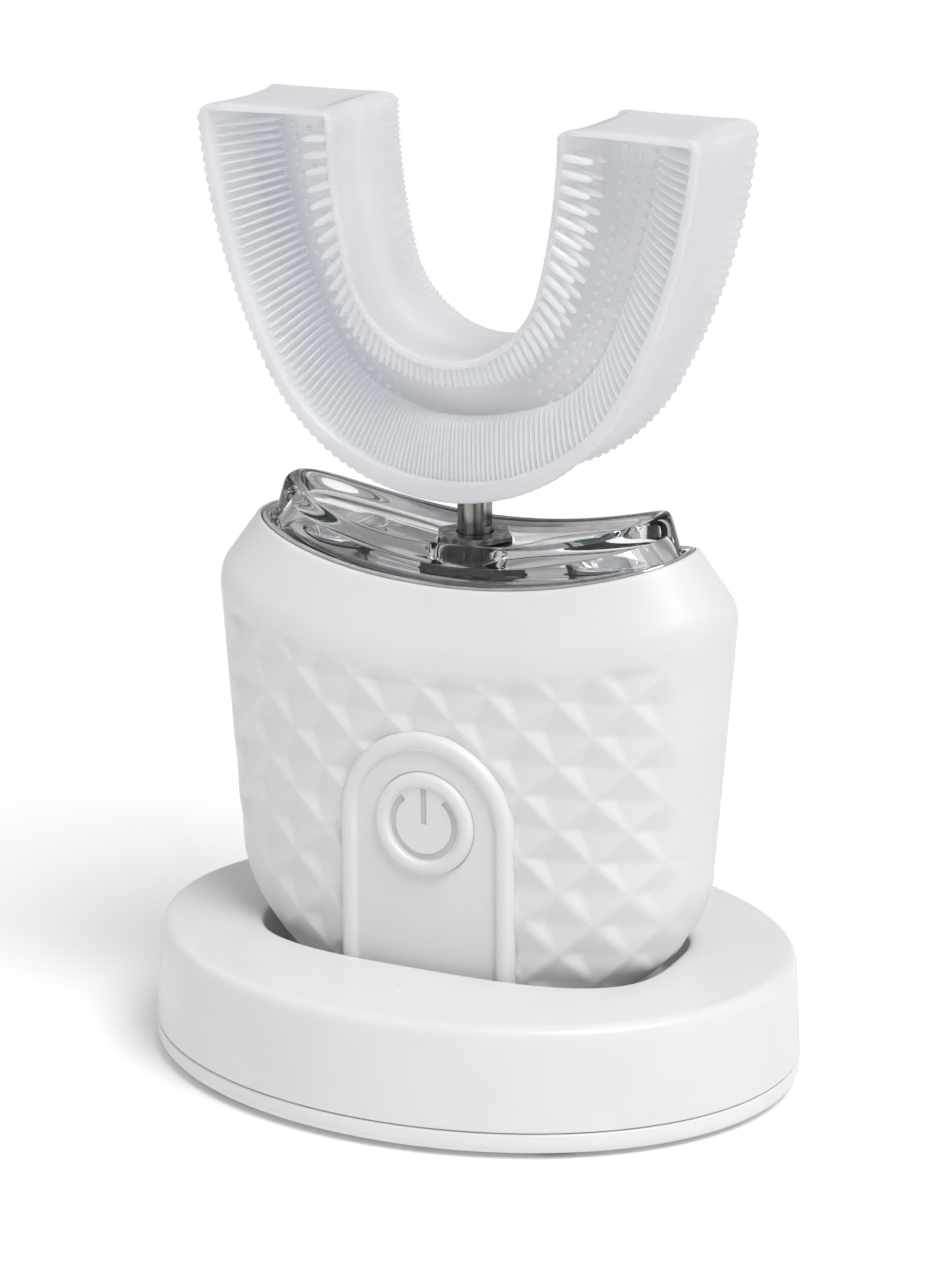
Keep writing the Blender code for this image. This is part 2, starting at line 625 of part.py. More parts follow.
def make_handle_electronics(looks):
    bevel = CELL_HALF - 0.5
    profile = [
        (CELL_RADIUS - 0.5, -CELL_HALF),
        (CELL_RADIUS, -bevel),
        (CELL_RADIUS, bevel),
        (CELL_RADIUS - 0.5, CELL_HALF),
    ]
    battery = turned("battery_cell", profile, looks["wrap"], 28)
    battery.data.transform(Matrix.Rotation(math.pi / 2, 4, "Y"))
    battery.location = Vector((0.0, 1.4, CELL_Z)) * MM
    low, high = (-18.5, BOARD_FRONT, 20.0), (18.5, BOARD_BACK, 56.0)
    board = block("handle_circuit_board", low, high, looks["board"])
    face = BOARD_FRONT - 0.2
    block("motor_driver_chip", (6.0, face - 0.9, 42.0), (11.0, face, 47.0), looks["chip"])
    block("charge_control_chip", (-12.0, face - 0.9, 23.0), (-8.0, face, 27.0), looks["chip"])
    for name, side in (("left", -1), ("right", 1)):
        x = side * LUG_X
        profile = [(1.0, 0.0), (1.0, 6.0)]
        hole_name = f"board_hole_{name}"
        cut(board, facing_pin(hole_name, profile, None, SCREW_SIDES, x, BOARD_FRONT - 2.0, LUG_Z))
        place = (x, BOARD_FRONT - 1.2, LUG_Z)
        make_screw(f"board_screw_{name}", place, FACING_FRONT, 1.6, 0.65, 4.4, looks["steel"])
    switch_low = (-2.6, BOARD_FRONT - 1.3, BUTTON_Z - 2.6)
    switch_high = (2.6, BOARD_FRONT - 0.2, BUTTON_Z + 2.6)
    housing = block("switch_housing", switch_low, switch_high, looks["steel"])
    profile = [(1.15, 0.0), (1.15, 4.0)]
    cut(housing, facing_pin("switch_bore", profile, None, 16, 0.0, BOARD_FRONT - 2.0, BUTTON_Z))
    floor = HANDLE_BOTTOM + HANDLE_WALL
    make_coil("receiver_coil", 3.5, 8.2, floor + GAP, floor + 1.2, looks["copper"])
    turned("receiver_ferrite", [(8.6, floor + 1.5), (8.6, floor + 2.2)], looks["ferrite"], 28)


# Button panel and button


def arch_outline(inset):
    """(x, z) points round the panel's outline: a half circle over two straight sides and a flat foot."""
    half = PANEL_HALF - inset
    foot = PANEL_BOTTOM + inset
    turns = [math.pi * i / 20 for i in range(21)]
    top = [(half * math.cos(turn), BUTTON_Z + half * math.sin(turn)) for turn in turns]
    left = [(-half, BUTTON_Z + (foot - BUTTON_Z) * i / 6) for i in range(1, 7)]
    under = [(-half + 2 * half * i / 8, foot) for i in range(1, 8)]
    right = [(half, foot + (BUTTON_Z - foot) * i / 6) for i in range(6)]
    return top + left + under + right


def facing_ring(points, stand):
    """Points on the panel's surface, standing proud of it by stand. Its lower part stays upright."""
    return [Vector((x, front_surface(x, max(z, PANEL_STRAIGHT)) - stand, z)) for x, z in points]


def round_hole(radius):
    """(x, z) points round the button's centre, in the directions of the panel's outline points."""
    points = []
    for x, z in arch_outline(0.0):
        turn = math.atan2(z - BUTTON_Z, x)
        points.append((radius * math.cos(turn), BUTTON_Z + radius * math.sin(turn)))
    return points


def make_control_panel(look):
    """Thin panel with a raised edge and a round hole for the button, which follows the handle."""
    outline, hole = arch_outline(0.0), round_hole(BUTTON_RADIUS + 0.2)
    rings = [
        facing_ring(outline, -PANEL_DEPTH),
        facing_ring(outline, PANEL_RIM - 0.3),
        facing_ring(arch_outline(0.45), PANEL_RIM),
        facing_ring(arch_outline(1.4), PANEL_RIM),
        facing_ring(arch_outline(2.1), 0.05),
        facing_ring(hole, 0.05),
        facing_ring(hole, -PANEL_DEPTH),
    ]
    loft("control_panel", rings, look, closed=True)


def make_power_button(looks):
    """Round button with a raised edge, an engraved power symbol and a stem. Its axis runs along Y."""
    face = front_surface(0.0, BUTTON_Z)
    profile = [
        (STEM_RADIUS, 4.0),
        (STEM_RADIUS, 0.35),
        (BUTTON_RADIUS, 0.3),
        (BUTTON_RADIUS, -0.4),
        (BUTTON_RADIUS - 0.5, -0.75),
        (BUTTON_RADIUS - 1.3, -0.75),
        (BUTTON_RADIUS - 1.7, -0.55),
    ]
    button = turned("power_button", profile, looks["silicone"], 40)
    half = ICON_WIDTH / 2
    steps = 24
    start, sweep = math.pi / 2 + ICON_GAP, 2 * math.pi - 2 * ICON_GAP
    inner, outer = [], []
    for i in range(steps + 1):
        turn = start + sweep * i / steps
        inner.append(((ICON_RADIUS - half) * math.cos(turn), (ICON_RADIUS - half) * math.sin(turn)))
        outer.append(((ICON_RADIUS + half) * math.cos(turn), (ICON_RADIUS + half) * math.sin(turn)))
    outline = outer + inner[::-1]
    depth = -0.55 + ICON_DEPTH
    arc = loft("icon_ring", [[Vector((x, y, z)) for x, y in outline] for z in (depth, -2.0)], None)
    bar = block("icon_bar", (-half, 0.0, -2.0), (half, ICON_RADIUS + half, depth), None)
    for thing in (button, arc, bar):
        # Local +Z becomes +Y, into the handle, and local +Y becomes +Z.
        thing.data.transform(Matrix(((1, 0, 0, 0), (0, 0, 1, 0), (0, 1, 0, 0), (0, 0, 0, 1))))
        thing.data.flip_normals()
        thing.location = Vector((0.0, face, BUTTON_Z)) * MM
    cut(button, arc)
    cut(button, bar)
    reach = BOARD_FRONT - 2.2
    facing_pin("switch_plunger", [(0.95, 0.0), (0.95, 1.2)], looks["chip"], 16, 0.0, reach + 0.2, BUTTON_Z)


# Drive shaft


def make_drive_shaft(looks):
    neck = MOTOR_TOP - 2.4
    profile = [
        (ROTOR_SHAFT_RADIUS - 0.3, MOTOR_BOTTOM - 0.2),
        (ROTOR_SHAFT_RADIUS, MOTOR_BOTTOM + 0.1),
        (ROTOR_SHAFT_RADIUS, neck),
        (SHAFT_RADIUS, neck),
        (SHAFT_RADIUS, SHAFT_TOP - 0.5),
        (SHAFT_RADIUS - 0.5, SHAFT_TOP),
    ]
    shaft = turned("drive_shaft", profile, looks["steel"], FIT_SIDES)
    cut(shaft, block("shaft_flat", (SHAFT_FLAT, -4.0, CAP_DECK_Z + 2.0), (6.0, 4.0, SHAFT_TOP + 2.0), None))
    bore = ROTOR_SHAFT_RADIUS + 0.1
    low, high = MOTOR_BOTTOM + 5.0, MOTOR_TOP - 4.5
    profile = [(bore, low), (3.5, low), (3.5, high), (bore, high)]
    turned("rotor_magnet", profile, looks["ferrite"], 24, closed=True)


# Mouthpiece


def edge_point(edge, share):
    """Point on one edge of the U; share runs from 0 at the lowest point to 1 at the top."""
    low, (near, near_angle), (far, far_angle) = edge
    near_length, far_length = near * math.radians(near_angle), far * math.radians(far_angle)
    travel = share * (near_length + far_length)
    turn = min(travel, near_length) / near
    x, z = near * math.sin(turn), low + near * (1 - math.cos(turn))
    end = turn + max(travel - near_length, 0.0) / far
    x += far * (math.sin(end) - math.sin(turn))
    z += far * (math.cos(turn) - math.cos(end))
    return Vector((x, 0.0, z))


def arch_station(share):
    """Middle of the section, its outward direction, half its width and its distance from the shaft."""
    outer, inner = edge_point(OUTER_EDGE, abs(share)), edge_point(INNER_EDGE, abs(share))
    if share < 0:
        outer.x, inner.x = -outer.x, -inner.x
    middle = (outer + inner) / 2
    return middle, (outer - inner).normalized(), (outer - inner).length / 2, abs(middle.x)


def tray_section(edge, distance, at_end):
    """(outward, depth) points of the H-section.

    The web swells round the socket and closes the channels' ends.
    """
    swell = math.exp(-((distance / HUB_REACH) ** 2))
    web, depth = WEB_HALF + HUB_SWELL * swell, TRAY_HALF_DEPTH
    if at_end:
        web = depth - END_STEP
    root = edge - TRAY_FLARE + 0.7 * swell
    quarter = [
        (root, 0.0),
        (root + TRAY_FLARE * 0.25, -depth * 0.5),
        (edge, -depth),
        (edge - TRAY_WALL, -depth),
        (edge - TRAY_FLARE - TRAY_WALL * 0.9, -web - 1.2),
        (edge - TRAY_FLARE - TRAY_WALL - 1.2, -web),
        (0.0, -web),
    ]
    # Mirror the quarter to the inner wall, then across the web.
    front = quarter + [(-n, y) for n, y in reversed(quarter[:-1])]
    back = [(n, -y) for n, y in reversed(front[1:-1])]
    return front + back


def make_mouthpiece(looks):
    rings = []
    for i in range(ARCH_STATIONS + 1):
        share = -1 + 2 * i / ARCH_STATIONS
        middle, outward, half_width, distance = arch_station(share)
        section = tray_section(half_width, distance, abs(share) == 1)
        rings.append([middle + outward * n + Vector((0.0, y, 0.0)) for n, y in section])
    tray = loft("mouthpiece_tray", rings, looks["silicone_clear"])
    clear = SOCKET_RADIUS + SEAM
    cut(tray, turned("socket_pocket", [(clear, SOCKET_BOTTOM - 4.0), (clear, SOCKET_TOP + SEAM)], None, 24))
    profile = [(SOCKET_RADIUS, SOCKET_BOTTOM), (SOCKET_RADIUS, SOCKET_TOP)]
    socket = turned("mouthpiece_socket", profile, looks["plastic"], 24)
    inside = SHAFT_RADIUS + SOCKET_PLAY
    profile = [(inside, SOCKET_BOTTOM - 1.0), (inside, SHAFT_TOP + GAP)]
    bore = turned("socket_bore", profile, None, FIT_SIDES)
    low, high = (SHAFT_FLAT + SOCKET_PLAY, -4.0, SOCKET_BOTTOM - 3.0), (6.0, 4.0, SOCKET_TOP + 2.0)
    cut(bore, block("bore_flat", low, high, None))
    cut(socket, bore)


def make_materials():
    return {
        "shell": material("white_plastic", (0.86, 0.86, 0.87), 0.32),
        "base": material("white_base_plastic", (0.87, 0.87, 0.87), 0.3),
        "silicone": material("soft_white", (0.84, 0.84, 0.85), 0.45),
        "silicone_clear": material("milky_silicone", (0.82, 0.84, 0.87), 0.3, transmission=0.4),
        "clear": material("clear_acrylic", (0.96, 0.97, 0.98), 0.03, transmission=1.0),
        "chrome": material("chrome", (0.75, 0.76, 0.78), 0.08, 1.0),
        "steel": material("steel", (0.55, 0.54, 0.52), 0.25, 1.0),
        "brass": material("sintered_bronze", (0.62, 0.45, 0.25), 0.4, 1.0),
        "copper": material("copper_winding", (0.72, 0.4, 0.2), 0.35, 1.0),
        "ferrite": material("ferrite", (0.08, 0.08, 0.085), 0.55),
        "rubber": material("black_rubber", (0.05, 0.05, 0.055), 0.6),
        "board": material("circuit_board", (0.03, 0.2, 0.09), 0.4),
        "chip": material("black_epoxy", (0.02, 0.02, 0.02), 0.4),
        "lamp": material("lamp_lens", (0.75, 0.85, 0.95), 0.2),
        "wrap": material("battery_wrap", (0.12, 0.25, 0.5), 0.35),
        "plastic": material("natural_nylon", (0.8, 0.8, 0.78), 0.4),
        "frame": material("grey_plastic", (0.35, 0.36, 0.38), 0.45),
    }


def make_all():
    clear_scene()
    looks = make_materials()
    make_base_shell(looks["base"])
    make_base_plate(looks["base"])
    make_base_feet(looks["rubber"])
    make_base_screws(looks["steel"])
    make_base_electronics(looks)
    make_handle_shell(looks["shell"])
    make_trim_ring(looks["chrome"])
    make_clear_cap(looks["clear"])
    make_reflector(looks["chrome"])
    make_lamps(looks)
    make_shaft_seal(looks["rubber"])
    make_shaft_collar(looks["steel"])
    make_inner_frame(looks["frame"])
    make_motor(looks)
    make_handle_electronics(looks)
    make_control_panel(looks["silicone"])
    make_power_button(looks)
    make_drive_shaft(looks)
    make_mouthpiece(looks)


make_all()
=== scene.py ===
"""Looks of the electric toothbrush with a U-shaped mouthpiece, standing in its wireless charging base.

Shapes are in millimetres, in the CAD's frame: +Z is up, the long side of the base runs along X, the power
button faces -Y, and the motor shaft is the Z axis.
"""

import math

import bmesh
import bpy
from mathutils import Matrix, Vector


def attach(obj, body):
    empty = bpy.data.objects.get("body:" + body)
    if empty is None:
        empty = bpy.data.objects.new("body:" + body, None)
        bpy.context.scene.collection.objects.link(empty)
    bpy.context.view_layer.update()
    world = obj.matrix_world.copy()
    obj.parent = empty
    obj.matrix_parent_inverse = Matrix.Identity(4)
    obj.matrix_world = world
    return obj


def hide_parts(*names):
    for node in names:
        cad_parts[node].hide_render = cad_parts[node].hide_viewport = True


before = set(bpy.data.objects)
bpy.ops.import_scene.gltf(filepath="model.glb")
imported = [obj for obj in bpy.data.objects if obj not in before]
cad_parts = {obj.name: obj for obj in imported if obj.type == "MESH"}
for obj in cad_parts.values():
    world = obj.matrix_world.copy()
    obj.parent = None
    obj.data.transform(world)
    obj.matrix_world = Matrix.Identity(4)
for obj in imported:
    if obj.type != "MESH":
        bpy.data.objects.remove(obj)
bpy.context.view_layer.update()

MM = 0.001
SIDES = 208  # points round a large oval section
SMALL_SIDES = 64
BORE_SIDES = 32
SEAM = 0.15
GAP = 0.3
SOFT_EDGE = 0.3  # rounding of the small edges beside a seam
SHARP_ANGLE = math.radians(38)

# Charging base
BASE_A, BASE_B = 41.0, 32.6
BASE_DRAFT = 0.6
BASE_TOP = 16.1
BASE_EDGE = 1.8
BASE_WALL = 1.6
PLATE_BOTTOM, PLATE_TOP, PLATE_FLOOR, PLATE_RIM = 0.6, 3.3, 2.1, 1.8
POCKET_A, POCKET_B, POCKET_POWER = 26.3, 15.0, 3.1
POCKET_LIP, POCKET_FLOOR, POCKET_SKIN = 0.6, 9.9, 1.2
FOOT_X, FOOT_Y = 20.0, 21.5
FOOT_RADIUS, FOOT_HEIGHT = 4.0, 1.2
BOSS_RADIUS, BOSS_BOTTOM, PLATE_BOSS = 3.0, 5.2, 3.8
SCREW_RADIUS, SCREW_HEAD = 1.0, 2.3
SCREW_SEAT, BORE_TOP = 3.2, 12.5
CORNERS = [(1, 1), (-1, 1), (-1, -1), (1, -1)]
INLET_Z, INLET_HALF_W, INLET_HALF_H, INLET_PLAY = 7.6, 4.45, 1.6, 0.35
POCKET_MIDDLE = (12.0, 8.0, 2.0)  # small section that closes the middle of the pocket's floor
PLATE_EDGE, PLATE_LIP = 1.4, 1.2
PLATE_RIB_HALF, PLATE_RIB_WIDTH, PLATE_RIBS_Y = 11.0, 1.6, (-8.0, 13.0)

# Handle
HANDLE_POWER = 2.6
SADDLE_HALF = 27.3
HANDLE_BOTTOM, HANDLE_TURN = 10.4, 28.0
TURN_A, TURN_B = 30.4, 13.9
BOTTOM_IN_A, BOTTOM_IN_B = 17.5, 1.9
SHOULDER_Z, SHOULDER_A, SHOULDER_B, SHOULDER_SAG = 54.4, 32.9, 14.2, 3.86
RIM_Z, RIM_A, RIM_B, RIM_SAG = 62.2, 28.0, 11.0, 4.4
HANDLE_WALL = 1.8
LEDGE_DROP, LEDGE_A, LEDGE_B = 1.3, 25.0, 8.2
RIM_ROUND, LEDGE_DEPTH = 0.35, 1.2
BEND_START, BEND_END, SHOULDER_END = 0.93, 0.2, 0.96  # shares of the flank and shoulder where the bends lie
HANDLE_COLUMNS = 460
LOWER_ROWS, FLANK_ROWS, BEND_ROWS, SHOULDER_ROWS = 44, 92, 14, 10
PRESSED_BEND_ROWS = 4
STEM_HOLE = 2.4

# Triangles pressed into the handle's front and back
FACET_WIDTH, FACET_HEIGHT = 8.7, 3.95
FACET_X, FACET_Z = -0.7, 50.9  # one corner of the pattern
FACET_LEAN = 0.3
FACET_DEPTH = 0.8
FACET_EDGE, FACET_FADE = 26.5, 4.5  # where the pattern starts to fade towards the ends, and over how much
FACET_TOP_FADE = 2.2
FACET_TOP = 1.6  # how far below the shoulder the pattern ends

# Cap, lamps and drive
CAP_POWER = 2.5
CAP_A, CAP_B = 26.35, 9.35
CAP_TOP_A, CAP_TOP_B, CAP_SAG = 24.7, 8.0, 6.0
CAP_LIP_Z, CAP_DECK_Z, CAP_THICK, CAP_HOLE = 66.5, 65.3, 1.4, 4.8
LAMP_X = 17.0
TRIM_WIDTH, TRIM_CROWN = 0.95, 0.35
REFLECTOR_A, REFLECTOR_B, REFLECTOR_Z, REFLECTOR_SAG = 23.6, 6.9, 61.6, 4.4
REFLECTOR_THICK, REFLECTOR_EDGE, REFLECTOR_HUB = 0.8, 0.2, 6.6
CUP_HOLE = 4.9
CUP_OUTSIDE = [(2.4, 61.1), (3.4, 61.1), (4.0, 62.6), (4.7, 64.6), (4.68, 64.95), (4.5, 65.15)]
CUP_INSIDE = [(4.3, 65.1), (4.1, 64.8), (3.6, 63.2), (3.0, 62.2), (2.6, 61.7)]

# Button panel
BUTTON_Z = 33.9
PANEL_HALF, PANEL_BOTTOM, PANEL_STRAIGHT = 11.2, 14.0, 26.0
PANEL_DEPTH, PANEL_RIM, PANEL_RIB = 0.75, 0.75, 2.1
PANEL_FACE = 0.04  # how far the panel's flat part stands proud of the handle's surface
PANEL_FILL = 0.13  # how far the panel reaches into the seam round it
ARCH_STEPS, SIDE_STEPS, RIB_STEPS = 80, 24, 12
RIB_POWER = 2.4  # how square the rounded ribs are
RIB_SLOPE = 0.06
BUTTON_PLAY = 0.07
BUTTON_RADIUS, BUTTON_STEM, BUTTON_SIDES = 6.4, 1.9, 96
BUTTON_EDGE, BUTTON_RING, BUTTON_RING_WIDTH = 0.3, 0.5, 1.75
BUTTON_DISH = -0.42
ICON_RADIUS, ICON_WIDTH, ICON_DEPTH = 4.05, 0.8, 0.3
ICON_GAP = math.radians(40)
ICON_STEPS = 64
INK_SINK, INK_DEPTH = 0.06, 0.05  # the grey layer in the engraved symbol: into its floor, and above it

# Mouthpiece
OUTER_EDGE = (72.0, (26.0, 62.0), (78.0, 24.0))
INNER_EDGE = (89.0, (12.4, 76.0), (80.0, 13.5))
TRAY_DEPTH, TRAY_WALL, TRAY_FLARE, WEB_HALF = 9.0, 1.3, 1.3, 1.0
HUB_SWELL, HUB_REACH = 3.4, 8.0
SOCKET_RADIUS, SOCKET_BOTTOM, SOCKET_TOP = 3.1, 72.6, 82.6
SCALLOPS = 50  # on each side of the U
SCALLOP_STEPS = 6
SCALLOP_HEIGHT = 0.28
END_SHARE, END_STEPS, END_ROUND = 0.973, 10, 1.7
TRAY_EDGE_ROUND, TRAY_EDGE_STEPS = 0.42, 4
LIP_REACH = 17.0  # how far from the middle of the U its free edges stay broad
OUTER_LIP, OUTER_LIP_SWELL = 0.9, 1.65
INNER_LIP, INNER_LIP_SWELL = 0.75, 0.3
OUTER_LENGTH, INNER_LENGTH = 60.8, 35.3  # length of each side of the U along its ribs and its fingers
BRISTLE_SIDES = 8
# On the arms, and how much more or less under the U
RIB_LENGTH, RIB_LENGTH_NEAR = 5.6, 2.1
RIB_HALF, RIB_HALF_NEAR = 0.24, -0.05
FINGER_LENGTH, FINGER_LENGTH_NEAR = 3.6, -0.9
FINGER_RADIUS, FINGER_RADIUS_NEAR = 0.46, -0.2
FINGER_ROWS = ((TRAY_DEPTH - 0.62, 0.62), (TRAY_DEPTH - 2.9, 1.2))  # (depth, distance inside the edge)
# Stages along a rib and a finger: (share of its length, share of its thickness)
RIB_STAGES = ((0.0, 1.0), (0.3, 1.0), (0.65, 0.95), (0.92, 0.8), (1.0, 0.3))
FINGER_STAGES = ((0.0, 1.15), (0.5, 1.0), (0.84, 0.86), (0.95, 0.6), (1.0, 0.22))
NUB_STAGES = ((0.0, 0.42), (0.45, 0.38), (0.62, 0.2))  # (height, radius)
NUB_ROWS = (-3.4, -1.6, 0.2, 2.0)
NUB_START, NUB_STEP, NUB_COUNT, NUB_END = 0.2, 0.032, 24, 0.94


# Mesh helpers


def mix(first, second, share):
    return tuple(p + (q - p) * share for p, q in zip(first, second))


def smooth(value):
    value = min(max(value, 0.0), 1.0)
    return value * value * (3 - 2 * value)


def curve_through(start, corner, end, steps):
    """Sections along a quadratic curve that rounds a corner, ends included."""
    shares = [i / steps for i in range(steps + 1)]
    return [mix(mix(start, corner, s), mix(corner, end, s), s) for s in shares]


def oval(a, b, power, z, sag=0.0, sides=SIDES, centre=(0.0, 0.0)):
    """Points of a superellipse, whose height follows the saddle by sag."""
    points = []
    for i in range(sides):
        turn = 2 * math.pi * i / sides
        c, s = math.cos(turn), math.sin(turn)
        reach = (abs(c) ** power + abs(s) ** power) ** (-1 / power)
        x, y = a * c * reach, b * s * reach
        points.append(Vector((x + centre[0], y + centre[1], z + sag * (x / SADDLE_HALF) ** 2)))
    return points


def circle(radius, z, sides=SMALL_SIDES, centre=(0.0, 0.0)):
    return oval(radius, radius, 2.0, z, 0.0, sides, centre)


def make_object(name, points, faces, look=None):
    mesh = bpy.data.meshes.new(name)
    mesh.from_pydata([tuple(point * MM) for point in points], [], faces)
    bm = bmesh.new()
    bm.from_mesh(mesh)
    bmesh.ops.recalc_face_normals(bm, faces=bm.faces)
    bm.to_mesh(mesh)
    bm.free()
    mesh.shade_smooth()
    mesh.set_sharp_from_angle(angle=SHARP_ANGLE)
    if look:
        mesh.materials.append(look)
    made = bpy.data.objects.new(name, mesh)
    bpy.context.scene.collection.objects.link(made)
    return made


def loft_parts(rings, closed=False, offset=0):
    """Points and faces of one closed skin through rings of equal length."""
    count = len(rings[0])
    points = [point for ring in rings for point in ring]
    starts = [offset + count * i for i in range(len(rings))]
    pairs = list(zip(starts, starts[1:]))
    faces = []
    if closed:
        pairs.append((starts[-1], starts[0]))
    else:
        faces.append(list(range(starts[0], starts[0] + count)))
        faces.append(list(range(starts[-1], starts[-1] + count)))
    for low, high in pairs:
        for i in range(count):
            j = (i + 1) % count
            faces.append((low + i, low + j, high + j, high + i))
    return points, faces


def loft(name, rings, look=None, closed=False):
    return make_object(name, *loft_parts(rings, closed), look)


def turned(name, profile, look=None, sides=SMALL_SIDES, centre=(0.0, 0.0), closed=False):
    """A round piece about a vertical axis, from (radius, z) pairs."""
    return loft(name, [circle(r, z, sides, centre) for r, z in profile], look, closed)


def block(name, low, high):
    (x0, y0, z0), (x1, y1, z1) = low, high
    outline = [(x0, y0), (x1, y0), (x1, y1), (x0, y1)]
    return loft(name, [[Vector((x, y, z)) for x, y in outline] for z in (z0, z1)])


def combine(target, tools, operation):
    """Applies each tool to the target as a boolean, then removes the tools."""
    for tool in tools:
        step = target.modifiers.new("combine", "BOOLEAN")
        step.operation = operation
        step.object = tool
    depsgraph = bpy.context.evaluated_depsgraph_get()
    result = bpy.data.meshes.new_from_object(target.evaluated_get(depsgraph))
    target.modifiers.clear()
    target.data = result
    result.shade_smooth()
    result.set_sharp_from_angle(angle=SHARP_ANGLE)
    for tool in tools:
        bpy.data.objects.remove(tool)


def stands_for(piece, body, slot, *nodes):
    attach(piece, body)
    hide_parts(*nodes)


# Materials


class Finish:
    """A principled material whose colour, roughness and relief come from procedural patterns."""

    def __init__(self, name, **constants):
        self.material = bpy.data.materials.new(name)
        self.material.use_nodes = True
        self.tree = self.material.node_tree
        self.shader = self.tree.nodes["Principled BSDF"]
        for key, value in constants.items():
            self.shader.inputs[key.replace("_", " ")].default_value = value

    def link(self, source, target):
        self.tree.links.new(source, target)

    def place(self, stretch):
        """Object coordinates, stretched along the axes."""
        coordinates = self.tree.nodes.new("ShaderNodeTexCoord")
        mapping = self.tree.nodes.new("ShaderNodeMapping")
        mapping.inputs["Scale"].default_value = stretch
        self.link(coordinates.outputs["Object"], mapping.inputs["Vector"])
        return mapping.outputs["Vector"]

    def noise(self, size, detail=2.0, stretch=(1, 1, 1)):
        """Soft random pattern whose blotches are about size millimetres across."""
        texture = self.tree.nodes.new("ShaderNodeTexNoise")
        texture.inputs["Scale"].default_value = 1 / (size * MM)
        texture.inputs["Detail"].default_value = detail
        self.link(self.place(stretch), texture.inputs["Vector"])
        return texture.outputs["Fac"]

    def stripes(self, pitch, direction, distortion=0.0):
        """Even ridges across one axis, pitch millimetres apart."""
        texture = self.tree.nodes.new("ShaderNodeTexWave")
        texture.bands_direction = direction
        texture.inputs["Scale"].default_value = math.pi / (10 * pitch * MM)
        texture.inputs["Distortion"].default_value = distortion
        self.link(self.place((1, 1, 1)), texture.inputs["Vector"])
        return texture.outputs["Fac"]

    def cells(self, size, stretch=(1, 1, 1)):
        """Angular patches about size millimetres across."""
        texture = self.tree.nodes.new("ShaderNodeTexVoronoi")
        texture.inputs["Scale"].default_value = 1 / (size * MM)
        self.link(self.place(stretch), texture.inputs["Vector"])
        return texture.outputs["Distance"]

    def colour(self, pattern, dark, light, low=0.3, high=0.7):
        """Base colour from dark to light as the pattern goes from low to high."""
        ramp = self.tree.nodes.new("ShaderNodeValToRGB")
        first, last = ramp.color_ramp.elements
        first.position, last.position = low, high
        first.color, last.color = (*dark, 1.0), (*light, 1.0)
        self.link(pattern, ramp.inputs["Fac"])
        self.link(ramp.outputs["Color"], self.shader.inputs["Base Color"])

    def roughness(self, pattern, low, high):
        span = self.tree.nodes.new("ShaderNodeMapRange")
        span.inputs["To Min"].default_value = low
        span.inputs["To Max"].default_value = high
        self.link(pattern, span.inputs["Value"])
        self.link(span.outputs["Result"], self.shader.inputs["Roughness"])

    def relief(self, pattern, height):
        """Fine relief, height millimetres from its lowest to its highest."""
        bump = self.tree.nodes.new("ShaderNodeBump")
        bump.inputs["Distance"].default_value = height * MM
        self.link(pattern, bump.inputs["Height"])
        self.link(bump.outputs["Normal"], self.shader.inputs["Normal"])


def grey(value, blue=0.0):
    return (value, value, value + blue)


def moulded(name, dark, light, rough, grain, height, **constants):
    """Moulded plastic or rubber: faint cloudiness, uneven gloss and a fine grain."""
    made = Finish(name, **constants)
    made.colour(made.noise(9.0), dark, light)
    made.roughness(made.noise(1.6, 3.0), *rough)
    made.relief(made.noise(grain, 3.0), height)
    return made.material


def metal(name, dark, light, rough, stretch, size, height, **constants):
    """Metal with fine marks, drawn out along the axes that stretch makes small."""
    made = Finish(name, Metallic=1.0, **constants)
    marks = made.noise(size, 3.0, stretch)
    made.colour(marks, dark, light)
    made.roughness(made.noise(size * 2, 2.0, stretch), *rough)
    made.relief(marks, height)
    return made.material


def striped(name, dark, light, rough, pitch, direction, height, **constants):
    """A surface laid in even lines, such as a winding."""
    made = Finish(name, **constants)
    lines = made.stripes(pitch, direction, 0.4)
    made.colour(lines, dark, light, 0.1, 0.9)
    made.roughness(made.noise(1.2), *rough)
    made.relief(lines, height)
    return made.material


def make_circuit_board():
    made = Finish("circuit_board_look", Coat_Weight=0.5, Coat_Roughness=0.15)
    tracks = made.cells(2.6, (1.0, 1.0, 1.4))
    made.colour(tracks, (0.015, 0.13, 0.05), (0.04, 0.24, 0.10), 0.25, 0.5)
    made.roughness(made.noise(0.8), 0.32, 0.5)
    made.relief(tracks, 0.03)
    return made.material


